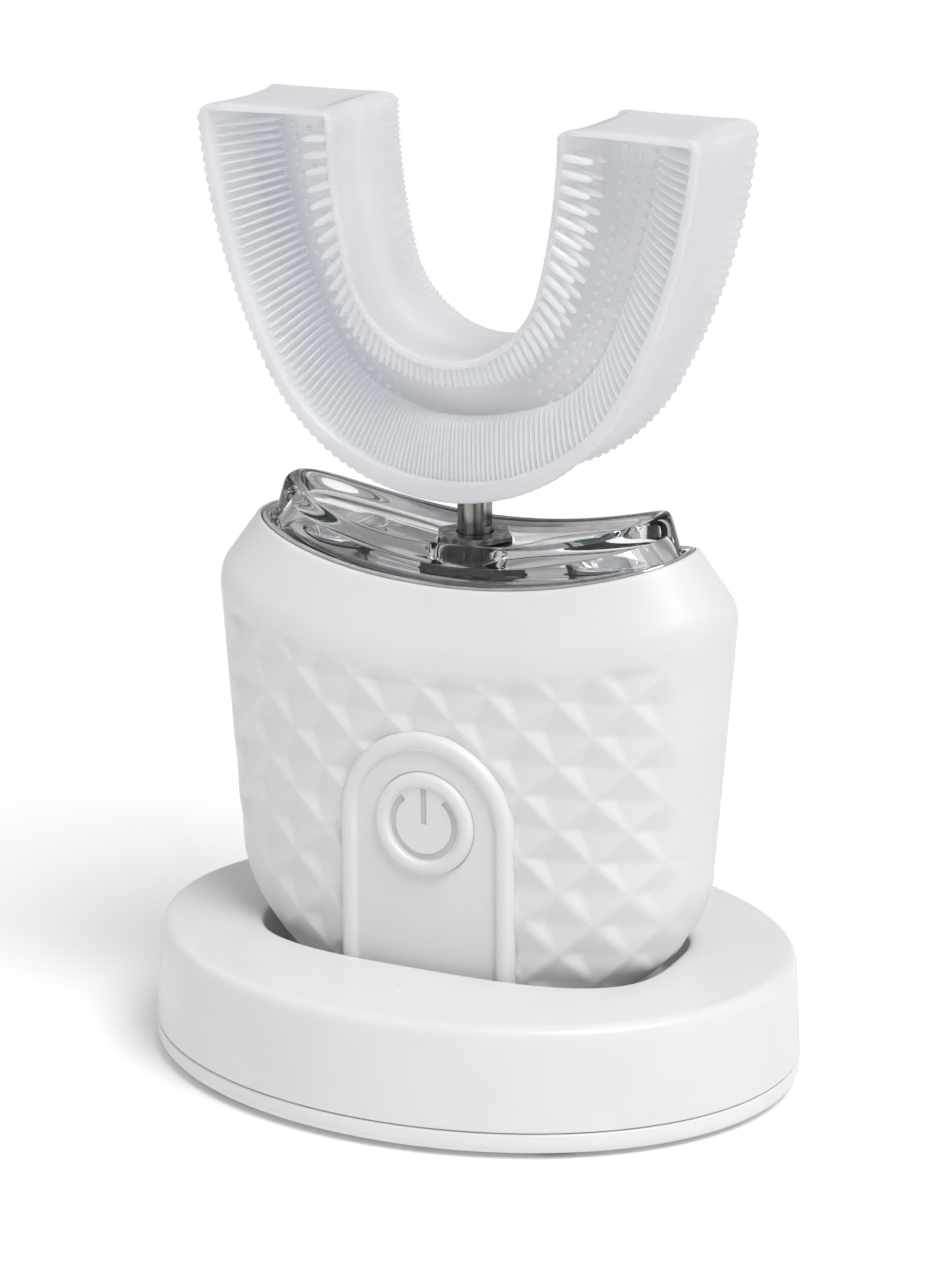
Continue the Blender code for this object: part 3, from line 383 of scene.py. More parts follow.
def make_looks():
    # The faint emission is a painted glow: it stands in for the light that clear silicone carries along
    # inside it, and lifts the shade in the tray's deep channels.
    silicone = {
        "Subsurface_Weight": 0.8,
        "Subsurface_Radius": (1.0, 1.0, 1.05),
        "Subsurface_Scale": 0.006,
        "Emission_Color": (0.93, 0.95, 1.0, 1.0),
        "Emission_Strength": 0.1,
        "IOR": 1.41,
    }
    return {
        "base_plastic": moulded(
            "base_plastic_look",
            grey(0.76),
            grey(0.785, 0.003),
            (0.2, 0.3),
            0.3,
            0.004,
            Specular_IOR_Level=0.5,
        ),
        "handle_plastic": moulded(
            "handle_plastic_look", grey(0.745, 0.006), grey(0.77, 0.009), (0.36, 0.46), 0.22, 0.008
        ),
        "soft_white": moulded(
            "soft_white_look", grey(0.75, 0.006), grey(0.775, 0.008), (0.4, 0.5), 0.18, 0.008
        ),
        "tray_silicone": moulded(
            "tray_silicone_look",
            (0.68, 0.686, 0.704),
            (0.72, 0.726, 0.74),
            (0.3, 0.42),
            0.5,
            0.012,
            Transmission_Weight=0.38,
            **silicone,
        ),
        # Painted light: the bristles wear a lighter copy of the tray's silicone with less transmission, so
        # the thin ribs and fingers look as bright as thin lit silicone does against the shade between them.
        "tray_bristles": moulded(
            "tray_bristles_look",
            (0.73, 0.736, 0.754),
            (0.78, 0.786, 0.8),
            (0.3, 0.4),
            0.5,
            0.008,
            Transmission_Weight=0.15,
            **silicone,
        ),
        "clear_plastic": make_clear(),
        "bright_trim": metal(
            "bright_trim_look", grey(0.62, 0.01), grey(0.78, 0.012), (0.04, 0.1), (1, 1, 1), 2.0, 0.004
        ),
        "steel": metal(
            "steel_look", (0.05, 0.048, 0.045), (0.55, 0.54, 0.52), (0.16, 0.3), (1, 1, 0.03), 1.1, 0.003
        ),
        "bronze": metal(
            "bronze_look", (0.5, 0.34, 0.17), (0.66, 0.48, 0.27), (0.35, 0.5), (1, 1, 1), 0.3, 0.006
        ),
        "copper_winding": striped(
            "copper_winding_look",
            (0.42, 0.17, 0.06),
            (0.78, 0.42, 0.2),
            (0.25, 0.4),
            0.35,
            "Z",
            0.08,
            Metallic=1.0,
        ),
        "ferrite": moulded("ferrite_look", grey(0.05), grey(0.09), (0.5, 0.65), 0.25, 0.02),
        "symbol_ink": moulded(
            "symbol_ink_look", grey(0.57, 0.006), grey(0.63, 0.006), (0.4, 0.5), 0.2, 0.006
        ),
        "dark_rubber": moulded("dark_rubber_look", grey(0.035), grey(0.06), (0.55, 0.7), 0.3, 0.015),
        "black_plastic": moulded("black_plastic_look", grey(0.015), grey(0.03), (0.35, 0.5), 0.2, 0.01),
        "grey_plastic": moulded(
            "grey_plastic_look", grey(0.32, 0.02), grey(0.38, 0.02), (0.4, 0.5), 0.3, 0.01
        ),
        "socket_nylon": moulded(
            "socket_nylon_look", (0.78, 0.78, 0.76), (0.84, 0.84, 0.82), (0.35, 0.45), 0.3, 0.008
        ),
        "battery_can": moulded(
            "battery_can_look", (0.09, 0.2, 0.45), (0.13, 0.28, 0.55), (0.25, 0.4), 1.5, 0.01
        ),
        "lamp_lens": moulded(
            "lamp_lens_look", (0.7, 0.8, 0.9), (0.78, 0.88, 0.97), (0.1, 0.25), 0.4, 0.004
        ),
        "circuit_board": make_circuit_board(),
    }


def make_clear():
    made = Finish("clear_plastic_look", Transmission_Weight=1.0, IOR=1.41)
    made.colour(made.noise(8.0), (0.95, 0.96, 0.965), (0.985, 0.99, 0.995))
    made.roughness(made.noise(3.0), 0.0, 0.03)
    made.relief(made.noise(4.0, 1.0), 0.004)
    return made.material


# Charging base


def slot_outline(half_w, half_h, y):
    """Points round the charging inlet's rounded slot, in the plane at y."""
    steps = 48
    points = []
    for i in range(steps):
        turn = 2 * math.pi * (i + 0.5) / steps
        side = math.copysign(half_w - half_h, math.cos(turn))
        points.append(Vector((side + half_h * math.cos(turn), y, INLET_Z + half_h * math.sin(turn))))
    return points


def make_base_shell(look):
    a, b = BASE_A - BASE_DRAFT, BASE_B - BASE_DRAFT
    foot = PLATE_TOP + SEAM
    seam_edge = curve_through(
        (BASE_A - SOFT_EDGE, BASE_B - SOFT_EDGE, 2.0, foot),
        (BASE_A, BASE_B, 2.0, foot),
        (BASE_A, BASE_B, 2.0, foot + SOFT_EDGE),
        3,
    )
    edge = curve_through(
        (a, b, 2.0, BASE_TOP - BASE_EDGE),
        (a, b, 2.0, BASE_TOP),
        (a - BASE_EDGE, b - BASE_EDGE, 2.0, BASE_TOP),
        12,
    )
    lip_out = POCKET_LIP + SOFT_EDGE
    lip = curve_through(
        (POCKET_A + lip_out, POCKET_B + lip_out, POCKET_POWER, BASE_TOP),
        (POCKET_A, POCKET_B, POCKET_POWER, BASE_TOP),
        (POCKET_A, POCKET_B, POCKET_POWER, BASE_TOP - lip_out),
        8,
    )
    floor = curve_through(
        (POCKET_A - 0.35, POCKET_B - 0.35, POCKET_POWER, POCKET_FLOOR + 0.8),
        (POCKET_A - 0.4, POCKET_B - 0.4, POCKET_POWER, POCKET_FLOOR),
        (POCKET_A - 1.2, POCKET_B - 1.2, POCKET_POWER, POCKET_FLOOR),
        4,
    )
    sections = seam_edge + edge + lip + floor + [(*POCKET_MIDDLE, POCKET_FLOOR)]
    cup_a, cup_b = POCKET_A + POCKET_SKIN, POCKET_B + POCKET_SKIN
    under = BASE_TOP - BASE_WALL
    inner = [
        (*POCKET_MIDDLE, POCKET_FLOOR - POCKET_SKIN),
        (cup_a - 0.4, cup_b - 0.4, POCKET_POWER, POCKET_FLOOR - POCKET_SKIN),
        (cup_a, cup_b, POCKET_POWER, under),
        (a - BASE_WALL, b - BASE_WALL, 2.0, under),
        (BASE_A - BASE_WALL, BASE_B - BASE_WALL, 2.0, foot),
    ]
    rings = [oval(*section) for section in sections[::-1] + inner[::-1]]
    shell = loft("base_shell_fine", rings, look)
    bosses, holes = [], []
    for sx, sy in CORNERS:
        centre = (sx * FOOT_X, sy * FOOT_Y)
        boss = [(BOSS_RADIUS, BOSS_BOTTOM), (BOSS_RADIUS, under + 0.8)]
        bore = [(SCREW_RADIUS + GAP, BOSS_BOTTOM - 1.0), (SCREW_RADIUS + GAP, BORE_TOP)]
        bosses.append(turned("boss", boss, None, BORE_SIDES, centre))
        holes.append(turned("bore", bore, None, BORE_SIDES, centre))
    combine(shell, bosses, "UNION")
    half_w, half_h = INLET_HALF_W + INLET_PLAY, INLET_HALF_H + INLET_PLAY
    window = [slot_outline(half_w, half_h, y) for y in (BASE_B - 4.0, BASE_B + 2.0)]
    combine(shell, [*holes, loft("window", window)], "DIFFERENCE")
    stands_for(shell, "charger_base", "base_plastic", "base_shell")


def make_base_plate(look):
    lip_a, lip_b = BASE_A - BASE_WALL - GAP, BASE_B - BASE_WALL - GAP
    top = PLATE_TOP
    low_edge = curve_through(
        (BASE_A - PLATE_EDGE, BASE_B - PLATE_EDGE, 2.0, PLATE_BOTTOM),
        (BASE_A - 0.1, BASE_B - 0.1, 2.0, PLATE_BOTTOM + 0.1),
        (BASE_A, BASE_B, 2.0, PLATE_BOTTOM + PLATE_EDGE),
        8,
    )
    top_edge = curve_through(
        (BASE_A, BASE_B, 2.0, top - SOFT_EDGE),
        (BASE_A, BASE_B, 2.0, top),
        (BASE_A - SOFT_EDGE, BASE_B - SOFT_EDGE, 2.0, top),
        3,
    )
    rest = [
        (lip_a, lip_b, 2.0, top),
        (lip_a, lip_b, 2.0, top + PLATE_LIP),
        (lip_a - PLATE_RIM, lip_b - PLATE_RIM, 2.0, top + PLATE_LIP),
        (lip_a - PLATE_RIM, lip_b - PLATE_RIM, 2.0, PLATE_FLOOR),
    ]
    plate = loft("base_plate_fine", [oval(*section) for section in low_edge + top_edge + rest], look)
    boss_top = BOSS_BOTTOM - GAP
    steps = [
        (FOOT_RADIUS + GAP, PLATE_BOTTOM - 1.0),
        (FOOT_RADIUS + GAP, FOOT_HEIGHT + GAP),
        (SCREW_HEAD + GAP, FOOT_HEIGHT + GAP),
        (SCREW_HEAD + GAP, SCREW_SEAT),
        (SCREW_RADIUS + GAP, SCREW_SEAT),
        (SCREW_RADIUS + GAP, boss_top + 1.0),
    ]
    bosses, holes = [], []
    for sx, sy in CORNERS:
        centre = (sx * FOOT_X, sy * FOOT_Y)
        bosses.append(turned("boss", [(PLATE_BOSS, 1.0), (PLATE_BOSS, boss_top)], None, BORE_SIDES, centre))
        holes.append(turned("hole", steps, None, BORE_SIDES, centre))
    for y in PLATE_RIBS_Y:
        bosses.append(block("rib", (-PLATE_RIB_HALF, y, 1.5), (PLATE_RIB_HALF, y + PLATE_RIB_WIDTH, 4.5)))
    combine(plate, bosses, "UNION")
    combine(plate, holes, "DIFFERENCE")
    stands_for(plate, "charger_base", "base_plastic", "base_plate")


# Handle


def lower_section(share):
    """Section of the rounded bottom; share runs from 0 at its top to 1 at the lowest point."""
    inward = 1 - math.sqrt(max(0.0, 1 - share * share))
    z = HANDLE_TURN - (HANDLE_TURN - HANDLE_BOTTOM) * share
    return (TURN_A - BOTTOM_IN_A * inward, TURN_B - BOTTOM_IN_B * inward, HANDLE_POWER, z, 0.0)


def flank_section(share):
    """Section between the rounded bottom, at 0, and the shoulder, at 1."""
    start = (TURN_A, TURN_B, HANDLE_POWER, HANDLE_TURN, 0.0)
    end = (SHOULDER_A, SHOULDER_B, HANDLE_POWER, SHOULDER_Z, SHOULDER_SAG)
    return mix(start, end, share)


def shoulder_section(share):
    """Section between the shoulder, at 0, and the rim, at 1."""
    start = flank_section(1.0)
    end = (RIM_A, RIM_B, HANDLE_POWER, RIM_Z, RIM_SAG)
    return mix(start, end, share)


def front_surface(x, z):
    """The y of the handle's front surface at x and z, below the shoulder."""
    if z < HANDLE_TURN:
        share = (HANDLE_TURN - z) / (HANDLE_TURN - HANDLE_BOTTOM)
        a, b = lower_section(min(share, 1.0))[:2]
    else:
        rise = SHOULDER_Z - HANDLE_TURN + SHOULDER_SAG * (x / SADDLE_HALF) ** 2
        a, b = flank_section((z - HANDLE_TURN) / rise)[:2]
    return -b * (1 - abs(x / a) ** HANDLE_POWER) ** (1 / HANDLE_POWER)


def shrunk(section, inset, lift=0.0):
    """The same section, smaller all round by inset and higher by lift."""
    a, b, power, z, sag = section
    return (a - inset, b - inset, power, z + lift, sag)


def even_turns(a, b, power, count):
    """Turns that space points evenly along a superellipse, with its centre as the turns' centre."""
    fine = 4000
    walk = oval(a, b, power, 0.0, 0.0, fine)
    lengths = [0.0]
    for i in range(fine):
        lengths.append(lengths[-1] + (walk[(i + 1) % fine] - walk[i]).length)
    turns, at = [], 0
    for i in range(count):
        goal = lengths[-1] * i / count
        while lengths[at + 1] < goal:
            at += 1
        share = (goal - lengths[at]) / (lengths[at + 1] - lengths[at])
        turns.append(2 * math.pi * (at + share) / fine)
    return turns


HANDLE_TURNS = even_turns(SHOULDER_A, SHOULDER_B, HANDLE_POWER, HANDLE_COLUMNS)


def handle_ring(a, b, power, z, sag=0.0):
    points = []
    for turn in HANDLE_TURNS:
        c, s = math.cos(turn), math.sin(turn)
        reach = (abs(c) ** power + abs(s) ** power) ** (-1 / power)
        x, y = a * c * reach, b * s * reach
        points.append(Vector((x, y, z + sag * (x / SADDLE_HALF) ** 2)))
    return points


def facet_depth(along, z):
    """Depth of the pressed triangles, from 0 to 1, at a distance along the surface and a height."""
    row = (FACET_Z - z) / FACET_HEIGHT
    drop = row - math.floor(row)
    side = ((along - FACET_X) / FACET_WIDTH - row / 2) % 1.0
    if side + drop < 1:
        return min(side / FACET_LEAN, (1 - side - drop) / (1 - FACET_LEAN))
    return min((1 - side) / (1 - FACET_LEAN), (side + drop - 1) / FACET_LEAN)


def press_facets(ring):
    """Moves a ring's points into the handle by the pressed triangles, which end below the shoulder."""
    count = len(ring)
    middles = {1: count // 4, -1: 3 * count // 4}
    along = [0.0] * count
    for side, middle in middles.items():
        for step in (1, -1):
            length = 0.0
            for k in range(1, count // 4 + 1):
                here, last = (middle + step * k) % count, (middle + step * (k - 1)) % count
                length += (ring[here] - ring[last]).length
                # Both faces read the same from outside: left to right.
                along[here] = math.copysign(length, ring[here].x) * -side
    moved = []
    for i, point in enumerate(ring):
        tangent = (ring[(i + 1) % count] - ring[i - 1]).normalized()
        inward = Vector((-tangent.y, tangent.x, 0.0))
        limit = SHOULDER_Z + SHOULDER_SAG * (point.x / SADDLE_HALF) ** 2 - FACET_TOP
        fade = smooth((limit - point.z) / FACET_TOP_FADE)
        fade *= smooth((FACET_EDGE + FACET_FADE - abs(point.x)) / FACET_FADE)
        depth = FACET_DEPTH * fade * facet_depth(along[i], point.z) if fade else 0.0
        moved.append(point + inward * depth)
    return moved


def make_handle_shell(look):
    lower = [lower_section(math.sin(math.pi / 2 * (1 - i / LOWER_ROWS))) for i in range(LOWER_ROWS)]
    flank = [flank_section(BEND_START * i / FLANK_ROWS) for i in range(FLANK_ROWS)]
    bend = curve_through(
        flank_section(BEND_START), flank_section(1.0), shoulder_section(BEND_END), BEND_ROWS
    )
    rise = (SHOULDER_END - BEND_END) / SHOULDER_ROWS
    shoulder = [shoulder_section(BEND_END + rise * i) for i in range(1, SHOULDER_ROWS + 1)]
    rim_top = shoulder_section(1.0)
    lip = shrunk(rim_top, RIM_ROUND)
    rim = curve_through(shoulder[-1], rim_top, lip, 4)[1:]
    pressed, plain = lower + flank + bend[:PRESSED_BEND_ROWS], bend[PRESSED_BEND_ROWS:] + shoulder + rim
    outer = [press_facets(handle_ring(*section)) for section in pressed]
    outer += [handle_ring(*section) for section in plain]
    ledge_z = RIM_Z - LEDGE_DROP
    inner = [
        shrunk(lip, 0.0, -LEDGE_DROP),
        (LEDGE_A, LEDGE_B, HANDLE_POWER, ledge_z, RIM_SAG),
        (LEDGE_A, LEDGE_B, HANDLE_POWER, ledge_z - LEDGE_DEPTH, RIM_SAG),
        shrunk(shoulder_section(0.75), HANDLE_WALL, -0.6),
        shrunk(shoulder_section(0.0), HANDLE_WALL, -0.6),
        shrunk(flank_section(0.0), HANDLE_WALL),
        shrunk(lower_section(0.4), HANDLE_WALL),
        shrunk(lower_section(0.7), HANDLE_WALL, 0.4),
        shrunk(lower_section(0.9), HANDLE_WALL, 1.0),
        shrunk(lower_section(1.0), HANDLE_WALL, HANDLE_WALL),
    ]
    shell = loft("handle_shell_fine", outer + [handle_ring(*section) for section in inner], look)
    outline, hole = arch_outline(-SEAM), round_hole(BUTTON_RADIUS)
    floor = -PANEL_DEPTH - SEAM
    recess_rings = [facing_ring(outline, 3.0), facing_ring(outline, floor), facing_ring(hole, floor)]
    recess = loft("recess", recess_rings)
    stem = turned("stem", [(STEM_HOLE, 0.0), (STEM_HOLE, 8.0)])
    stem.data.transform(Matrix.Rotation(-math.pi / 2, 4, "X"))
    stem.location = Vector((0.0, -16.0, BUTTON_Z)) * MM
    combine(shell, [recess, stem], "DIFFERENCE")
    stands_for(shell, "handle", "handle_plastic", "handle_shell")


def make_trim_ring(look):
    low, high = RIM_Z - LEDGE_DROP + GAP, RIM_Z + 0.3
    out_a, out_b = RIM_A - RIM_ROUND - SEAM, RIM_B - RIM_ROUND - SEAM
    outer = (out_a, out_b, HANDLE_POWER, high - TRIM_CROWN, RIM_SAG)
    top = shrunk(outer, TRIM_WIDTH / 2, TRIM_CROWN)
    inner = shrunk(outer, TRIM_WIDTH)
    crown = curve_through(outer, shrunk(outer, 0.0, TRIM_CROWN), top, 5)
    crown += curve_through(top, shrunk(inner, 0.0, TRIM_CROWN), inner, 5)[1:]
    sections = [(*outer[:3], low, RIM_SAG)] + crown + [(*inner[:3], low, RIM_SAG)]
    ring = loft("trim_ring_fine", [oval(*section) for section in sections], look, closed=True)
    stands_for(ring, "handle", "bright_trim", "trim_ring")


def make_clear_cap(look):
    power, sag = CAP_POWER, CAP_SAG
    foot = (CAP_A, CAP_B, power, RIM_Z - LEDGE_DROP + GAP, RIM_SAG)
    start = mix(foot, (CAP_TOP_A, CAP_TOP_B, power, CAP_LIP_Z, sag), 0.72)
    crest = (CAP_TOP_A - 0.75, CAP_TOP_B - 0.7, power, CAP_LIP_Z + 0.12, sag)
    deck = (CAP_TOP_A - 2.9, CAP_TOP_B - 2.6, power, CAP_DECK_Z, sag)
    lip = curve_through(start, (CAP_TOP_A, CAP_TOP_B, power, CAP_LIP_Z + 0.1, sag), crest, 9)
    turn = (CAP_TOP_A - 1.7, CAP_TOP_B - 1.55, power, CAP_LIP_Z + 0.05, sag)
    fall = curve_through(crest, turn, deck, 9)[1:]
    wall = [mix(foot, start, i / 6) for i in range(6)]
    deck_a, deck_b = deck[:2]
    under = CAP_DECK_Z - CAP_THICK
    rings = [oval(*section) for section in wall + lip + fall]
    rings += [circle(CAP_HOLE, CAP_DECK_Z, SIDES), circle(CAP_HOLE, under, SIDES)]
    rings.append(oval(deck_a, deck_b, power, under, sag))
    rings.append(oval(deck_a + 1.0, deck_b + 1.0, power, under - 0.3, sag))
    rings.append(oval(*shrunk(foot, 1.5)))
    cap = loft("clear_cap_fine", rings, look, closed=True)
    stands_for(cap, "handle", "clear_plastic", "clear_cap")


def make_reflector(look):
    top = REFLECTOR_Z + REFLECTOR_THICK
    foot = (REFLECTOR_A, REFLECTOR_B, HANDLE_POWER, REFLECTOR_Z, REFLECTOR_SAG)
    sections = [
        foot,
        shrunk(foot, 0.0, REFLECTOR_THICK - REFLECTOR_EDGE),
        shrunk(foot, REFLECTOR_EDGE, REFLECTOR_THICK),
    ]
    hub = (REFLECTOR_HUB, REFLECTOR_HUB - 1.0, 2.0)
    rings = [oval(*hub, REFLECTOR_Z), *[oval(*section) for section in sections], oval(*hub, top)]
    plate = loft("reflector_plate_fine", rings, look, closed=True)
    through = [(CUP_HOLE, 58.0), (CUP_HOLE, 70.0)]
    holes = [turned("cup_hole", through, centre=(side * LAMP_X, 0.0)) for side in (-1, 1)]
    combine(plate, holes, "DIFFERENCE")
    stands_for(plate, "handle", "bright_trim", "reflector_plate")
    for name, side in (("left", -1), ("right", 1)):
        centre = (side * LAMP_X, 0.0)
        cup = turned(
            f"reflector_cup_{name}_fine", CUP_OUTSIDE + CUP_INSIDE, look, centre=centre, closed=True
        )
        stands_for(cup, "handle", "bright_trim", f"reflector_cup_{name}")


# Button panel and button


def arch_outline(inset, foot_inset=None):
    """(x, z) points round the panel's outline: a half circle over two straight sides and a flat foot."""
    half = PANEL_HALF - inset
    foot = PANEL_BOTTOM + (inset if foot_inset is None else foot_inset)
    steps = SIDE_STEPS
    turns = [math.pi * i / ARCH_STEPS for i in range(ARCH_STEPS + 1)]
    top = [(half * math.cos(turn), BUTTON_Z + half * math.sin(turn)) for turn in turns]
    left = [(-half, BUTTON_Z + (foot - BUTTON_Z) * i / steps) for i in range(1, steps + 1)]
    under = [(-half + 2 * half * i / steps, foot) for i in range(1, steps)]
    right = [(half, foot + (BUTTON_Z - foot) * i / steps) for i in range(steps)]
    return top + left + under + right


def facing_ring(points, stand):
    """Points that stand proud of the panel's surface by stand. Below PANEL_STRAIGHT it stays upright."""
    return [Vector((x, front_surface(x, max(z, PANEL_STRAIGHT)) - stand, z)) for x, z in points]


def round_hole(radius):
    """(x, z) points round the button, one for each point of the panel's outline."""
    points = []
    for x, z in arch_outline(0.0):
        turn = math.atan2(z - BUTTON_Z, x)
        points.append((radius * math.cos(turn), BUTTON_Z + radius * math.sin(turn)))
    return points


def rounded(across):
    """Height of a rounded rib at a share of its width, from 0 at both edges to 1."""
    return math.sqrt(max(0.0, 1 - abs(2 * across - 1) ** RIB_POWER))


def rib_height(x, z):
    """Height of the panel's face at x, z: a rounded rib runs up both sides and over the top."""
    reach = abs(x) if z < BUTTON_Z else math.hypot(x, z - BUTTON_Z)
    across = min(max((PANEL_HALF - reach) / PANEL_RIB, 0.0), 1.0)
    return PANEL_FACE + RIB_SLOPE * (1 - across) + (PANEL_RIM - PANEL_FACE) * rounded(across)


def rib_ring(inset, foot_inset):
    """Points round the panel on its ribbed face."""
    points = arch_outline(inset, foot_inset)
    return [facing_ring([(x, z)], rib_height(x, z))[0] for x, z in points]


def make_control_panel(look):
    hole, edge = round_hole(BUTTON_RADIUS + BUTTON_PLAY), arch_outline(-PANEL_FILL)
    rings = [facing_ring(edge, -PANEL_DEPTH), facing_ring(edge, 0.0)]
    rings += [rib_ring(PANEL_RIB * i / RIB_STEPS, 0.02 * i) for i in range(RIB_STEPS + 1)]
    rings.append(rib_ring(PANEL_RIB + 0.25, 0.3))
    rings += [facing_ring(hole, PANEL_FACE), facing_ring(hole, -PANEL_DEPTH)]
    panel = loft("control_panel_fine", rings, look, closed=True)
    stands_for(panel, "handle", "soft_white", "control_panel")


def make_power_button(look, ink):
    """A ringed, dished button. It is made lying down, with local +Z into the handle, and then stood up."""
    edge = BUTTON_EDGE
    profile = [(BUTTON_STEM, 4.0), (BUTTON_STEM, 0.35), (BUTTON_RADIUS, edge), (BUTTON_RADIUS, -edge)]
    for i in range(1, RIB_STEPS + 1):
        across = i / RIB_STEPS
        height = (BUTTON_DISH + edge) * across - edge - BUTTON_RING * rounded(across)
        profile.append((BUTTON_RADIUS - BUTTON_RING_WIDTH * across, height))
    button = turned("power_button_fine", profile, look, BUTTON_SIDES)
    half = ICON_WIDTH / 2
    start, sweep = math.pi / 2 + ICON_GAP, 2 * math.pi - 2 * ICON_GAP
    turns = [start + sweep * i / ICON_STEPS for i in range(ICON_STEPS + 1)]
    arc = [((ICON_RADIUS + half) * math.cos(turn), (ICON_RADIUS + half) * math.sin(turn)) for turn in turns]
    for turn in reversed(turns):
        arc.append(((ICON_RADIUS - half) * math.cos(turn), (ICON_RADIUS - half) * math.sin(turn)))
    bar = [(-half, 0.0), (half, 0.0), (half, ICON_RADIUS + half), (-half, ICON_RADIUS + half)]

    def symbol(low, high):
        parts = []
        for points in (arc, bar):
            rings = [[Vector((x, y, z)) for x, y in points] for z in (low, high)]
            parts.append(loft("symbol_part", rings, ink))
        return parts

    depth = BUTTON_DISH + ICON_DEPTH
    combine(button, symbol(depth, -2.0), "DIFFERENCE")
    inlays = symbol(depth + INK_SINK, depth - INK_DEPTH)
    for number, inlay in enumerate(inlays, 1):
        inlay.name = f"power_symbol_{number}"
    for piece in (button, *inlays):
        # Local +Z becomes +Y, into the handle, and local +Y becomes +Z.
        piece.data.transform(Matrix(((1, 0, 0, 0), (0, 0, 1, 0), (0, 1, 0, 0), (0, 0, 0, 1))))
        piece.data.flip_normals()
        piece.location = Vector((0.0, front_surface(0.0, BUTTON_Z), BUTTON_Z)) * MM
        stands_for(piece, "power_button", "soft_white", "power_button")


# Mouthpiece


def edge_point(edge, share):
    """Point on one edge of the U; share runs from 0 at the lowest point to 1 at the top."""
    low, (near, near_angle), (far, far_angle) = edge
    near_length, far_length = near * math.radians(near_angle), far * math.radians(far_angle)
    travel = share * (near_length + far_length)
    turn = min(travel, near_length) / near
    x, z = near * math.sin(turn), low + near * (1 - math.cos(turn))
    end = turn + max(travel - near_length, 0.0) / far
    x += far * (math.sin(end) - math.sin(turn))
    z += far * (math.cos(turn) - math.cos(end))
    return Vector((x, 0.0, z))


def arch_station(share):
    """A section's middle, outward direction, half width and distance from the U's lowest point."""
    outer, inner = edge_point(OUTER_EDGE, abs(share)), edge_point(INNER_EDGE, abs(share))
    if share < 0:
        outer.x, inner.x = -outer.x, -inner.x
    middle = (outer + inner) / 2
    return middle, (outer - inner).normalized(), (outer - inner).length / 2, abs(middle.x)


def web_half(distance):
    """Half the thickness of the wall between the two channels: it swells round the socket."""
    return WEB_HALF + HUB_SWELL * math.exp(-((distance / HUB_REACH) ** 2))


def outer_lip(distance):
    """Width of the outer wall's free edge: narrow on the arms and broad under the U."""
    return OUTER_LIP + OUTER_LIP_SWELL * math.exp(-((distance / LIP_REACH) ** 2))


def inner_lip(distance):
    """Width of the inner wall's free edge."""
    return INNER_LIP + INNER_LIP_SWELL * math.exp(-((distance / LIP_REACH) ** 2))


def wall_profile(edge, depth, web, lip, flare, bump):
    """(outward, depth) points of one wall's half: up its outer face, over its edge and down to the web."""
    rounding = TRAY_EDGE_ROUND
    turns = [math.pi / 2 * i / TRAY_EDGE_STEPS for i in range(TRAY_EDGE_STEPS + 1)]
    points = []
    for share in (0.0, 0.25, 0.5, 0.75):
        points.append((edge - flare + flare * share * share, share * depth))
    start = edge + bump - rounding
    inside = edge - lip
    low = depth - rounding
    points += [(start + rounding * math.cos(turn), low + rounding * math.sin(turn)) for turn in turns]
    for turn in turns:
        points.append((inside + rounding - rounding * math.sin(turn), low + rounding * math.cos(turn)))
    foot = min(inside, edge - flare - TRAY_WALL)
    climb = depth - web
    points.append((inside + (foot - inside) * 0.4, web + climb * 0.6))
    points.append((inside + (foot - inside) * 0.8, web + climb * 0.35))
    corner = curve_through((foot, web + climb * 0.2), (foot - 0.1, web), (foot - 1.2, web), 3)
    return points + corner


def tray_ring(share, closing):
    """Points round the whole H-section at a station. Closing runs from 0 to 1 over an arm's rounded end."""
    middle, outward, half, distance = arch_station(share)
    rounding = 1 - math.sqrt(max(0.0, 1 - closing * closing))
    edge, depth = half - END_ROUND * rounding, TRAY_DEPTH - 0.75 * END_ROUND * rounding
    web = web_half(distance)
    if closing:
        web += (depth - 0.45 - web) * min(1.0, closing * 2.5)
    root_swell = 0.7 * math.exp(-((distance / HUB_REACH) ** 2))
    wave = 0.5 - 0.5 * math.cos(2 * math.pi * SCALLOPS * share)
    fade = smooth((abs(share) - 0.06) / 0.2) * (1 - closing) * SCALLOP_HEIGHT
    front_bump = fade * (wave if share < 0 else 0.25 * wave)
    back_bump = fade * wave

    def wall(lip, bump):
        return wall_profile(edge, depth, web, lip, TRAY_FLARE - root_swell, bump)

    outer, inner = outer_lip(distance), inner_lip(distance)
    outer_front, outer_back = wall(outer, front_bump), wall(outer, back_bump)
    inner_front, inner_back = wall(inner, 0.3 * back_bump), wall(inner, back_bump)
    ring = [(n, -y) for n, y in outer_front]
    ring += [(-n, -y) for n, y in reversed(inner_front)]
    ring += [(-n, y) for n, y in inner_back[1:]]
    ring += [(n, y) for n, y in reversed(outer_back[1:])]
    return [middle + outward * n + Vector((0.0, y, 0.0)) for n, y in ring]


def bristle_parts(root, reach, depth_way, along, stages, offset, slant=0.0):
    """A rounded finger or thin rib, from stages of (distance, half thickness, half height, depth).

    Slant tilts the root to follow a leaning wall, and fades towards the tip.
    """
    rings = []
    for distance, thin, tall, depth in stages:
        centre = root + reach * distance + depth_way * depth
        up = depth_way - reach * (slant * (1 - distance / stages[-1][0]))
        ring = []
        for i in range(BRISTLE_SIDES):
            turn = 2 * math.pi * (i + 0.5) / BRISTLE_SIDES
            ring.append(centre + along * (thin * math.cos(turn)) + up * (tall * math.sin(turn)))
        rings.append(ring)
    return loft_parts(rings, offset=offset)


def outer_ribs():
    """Thin ribs that stand on the outer wall's inner face, closer together and longer under the U."""
    found, share = [], 0.004
    while share < 0.955:
        found += [share, -share]
        share += (0.62 + 0.55 * smooth(share / 0.55)) / OUTER_LENGTH
    return found


def inner_fingers():
    """Rounded fingers on the inner wall's channel face, closer together under the U."""
    found, share = [], 0.012
    while share < 0.945:
        found += [share, -share]
        share += (0.72 + smooth((share - 0.1) / 0.5)) / INNER_LENGTH
    return found


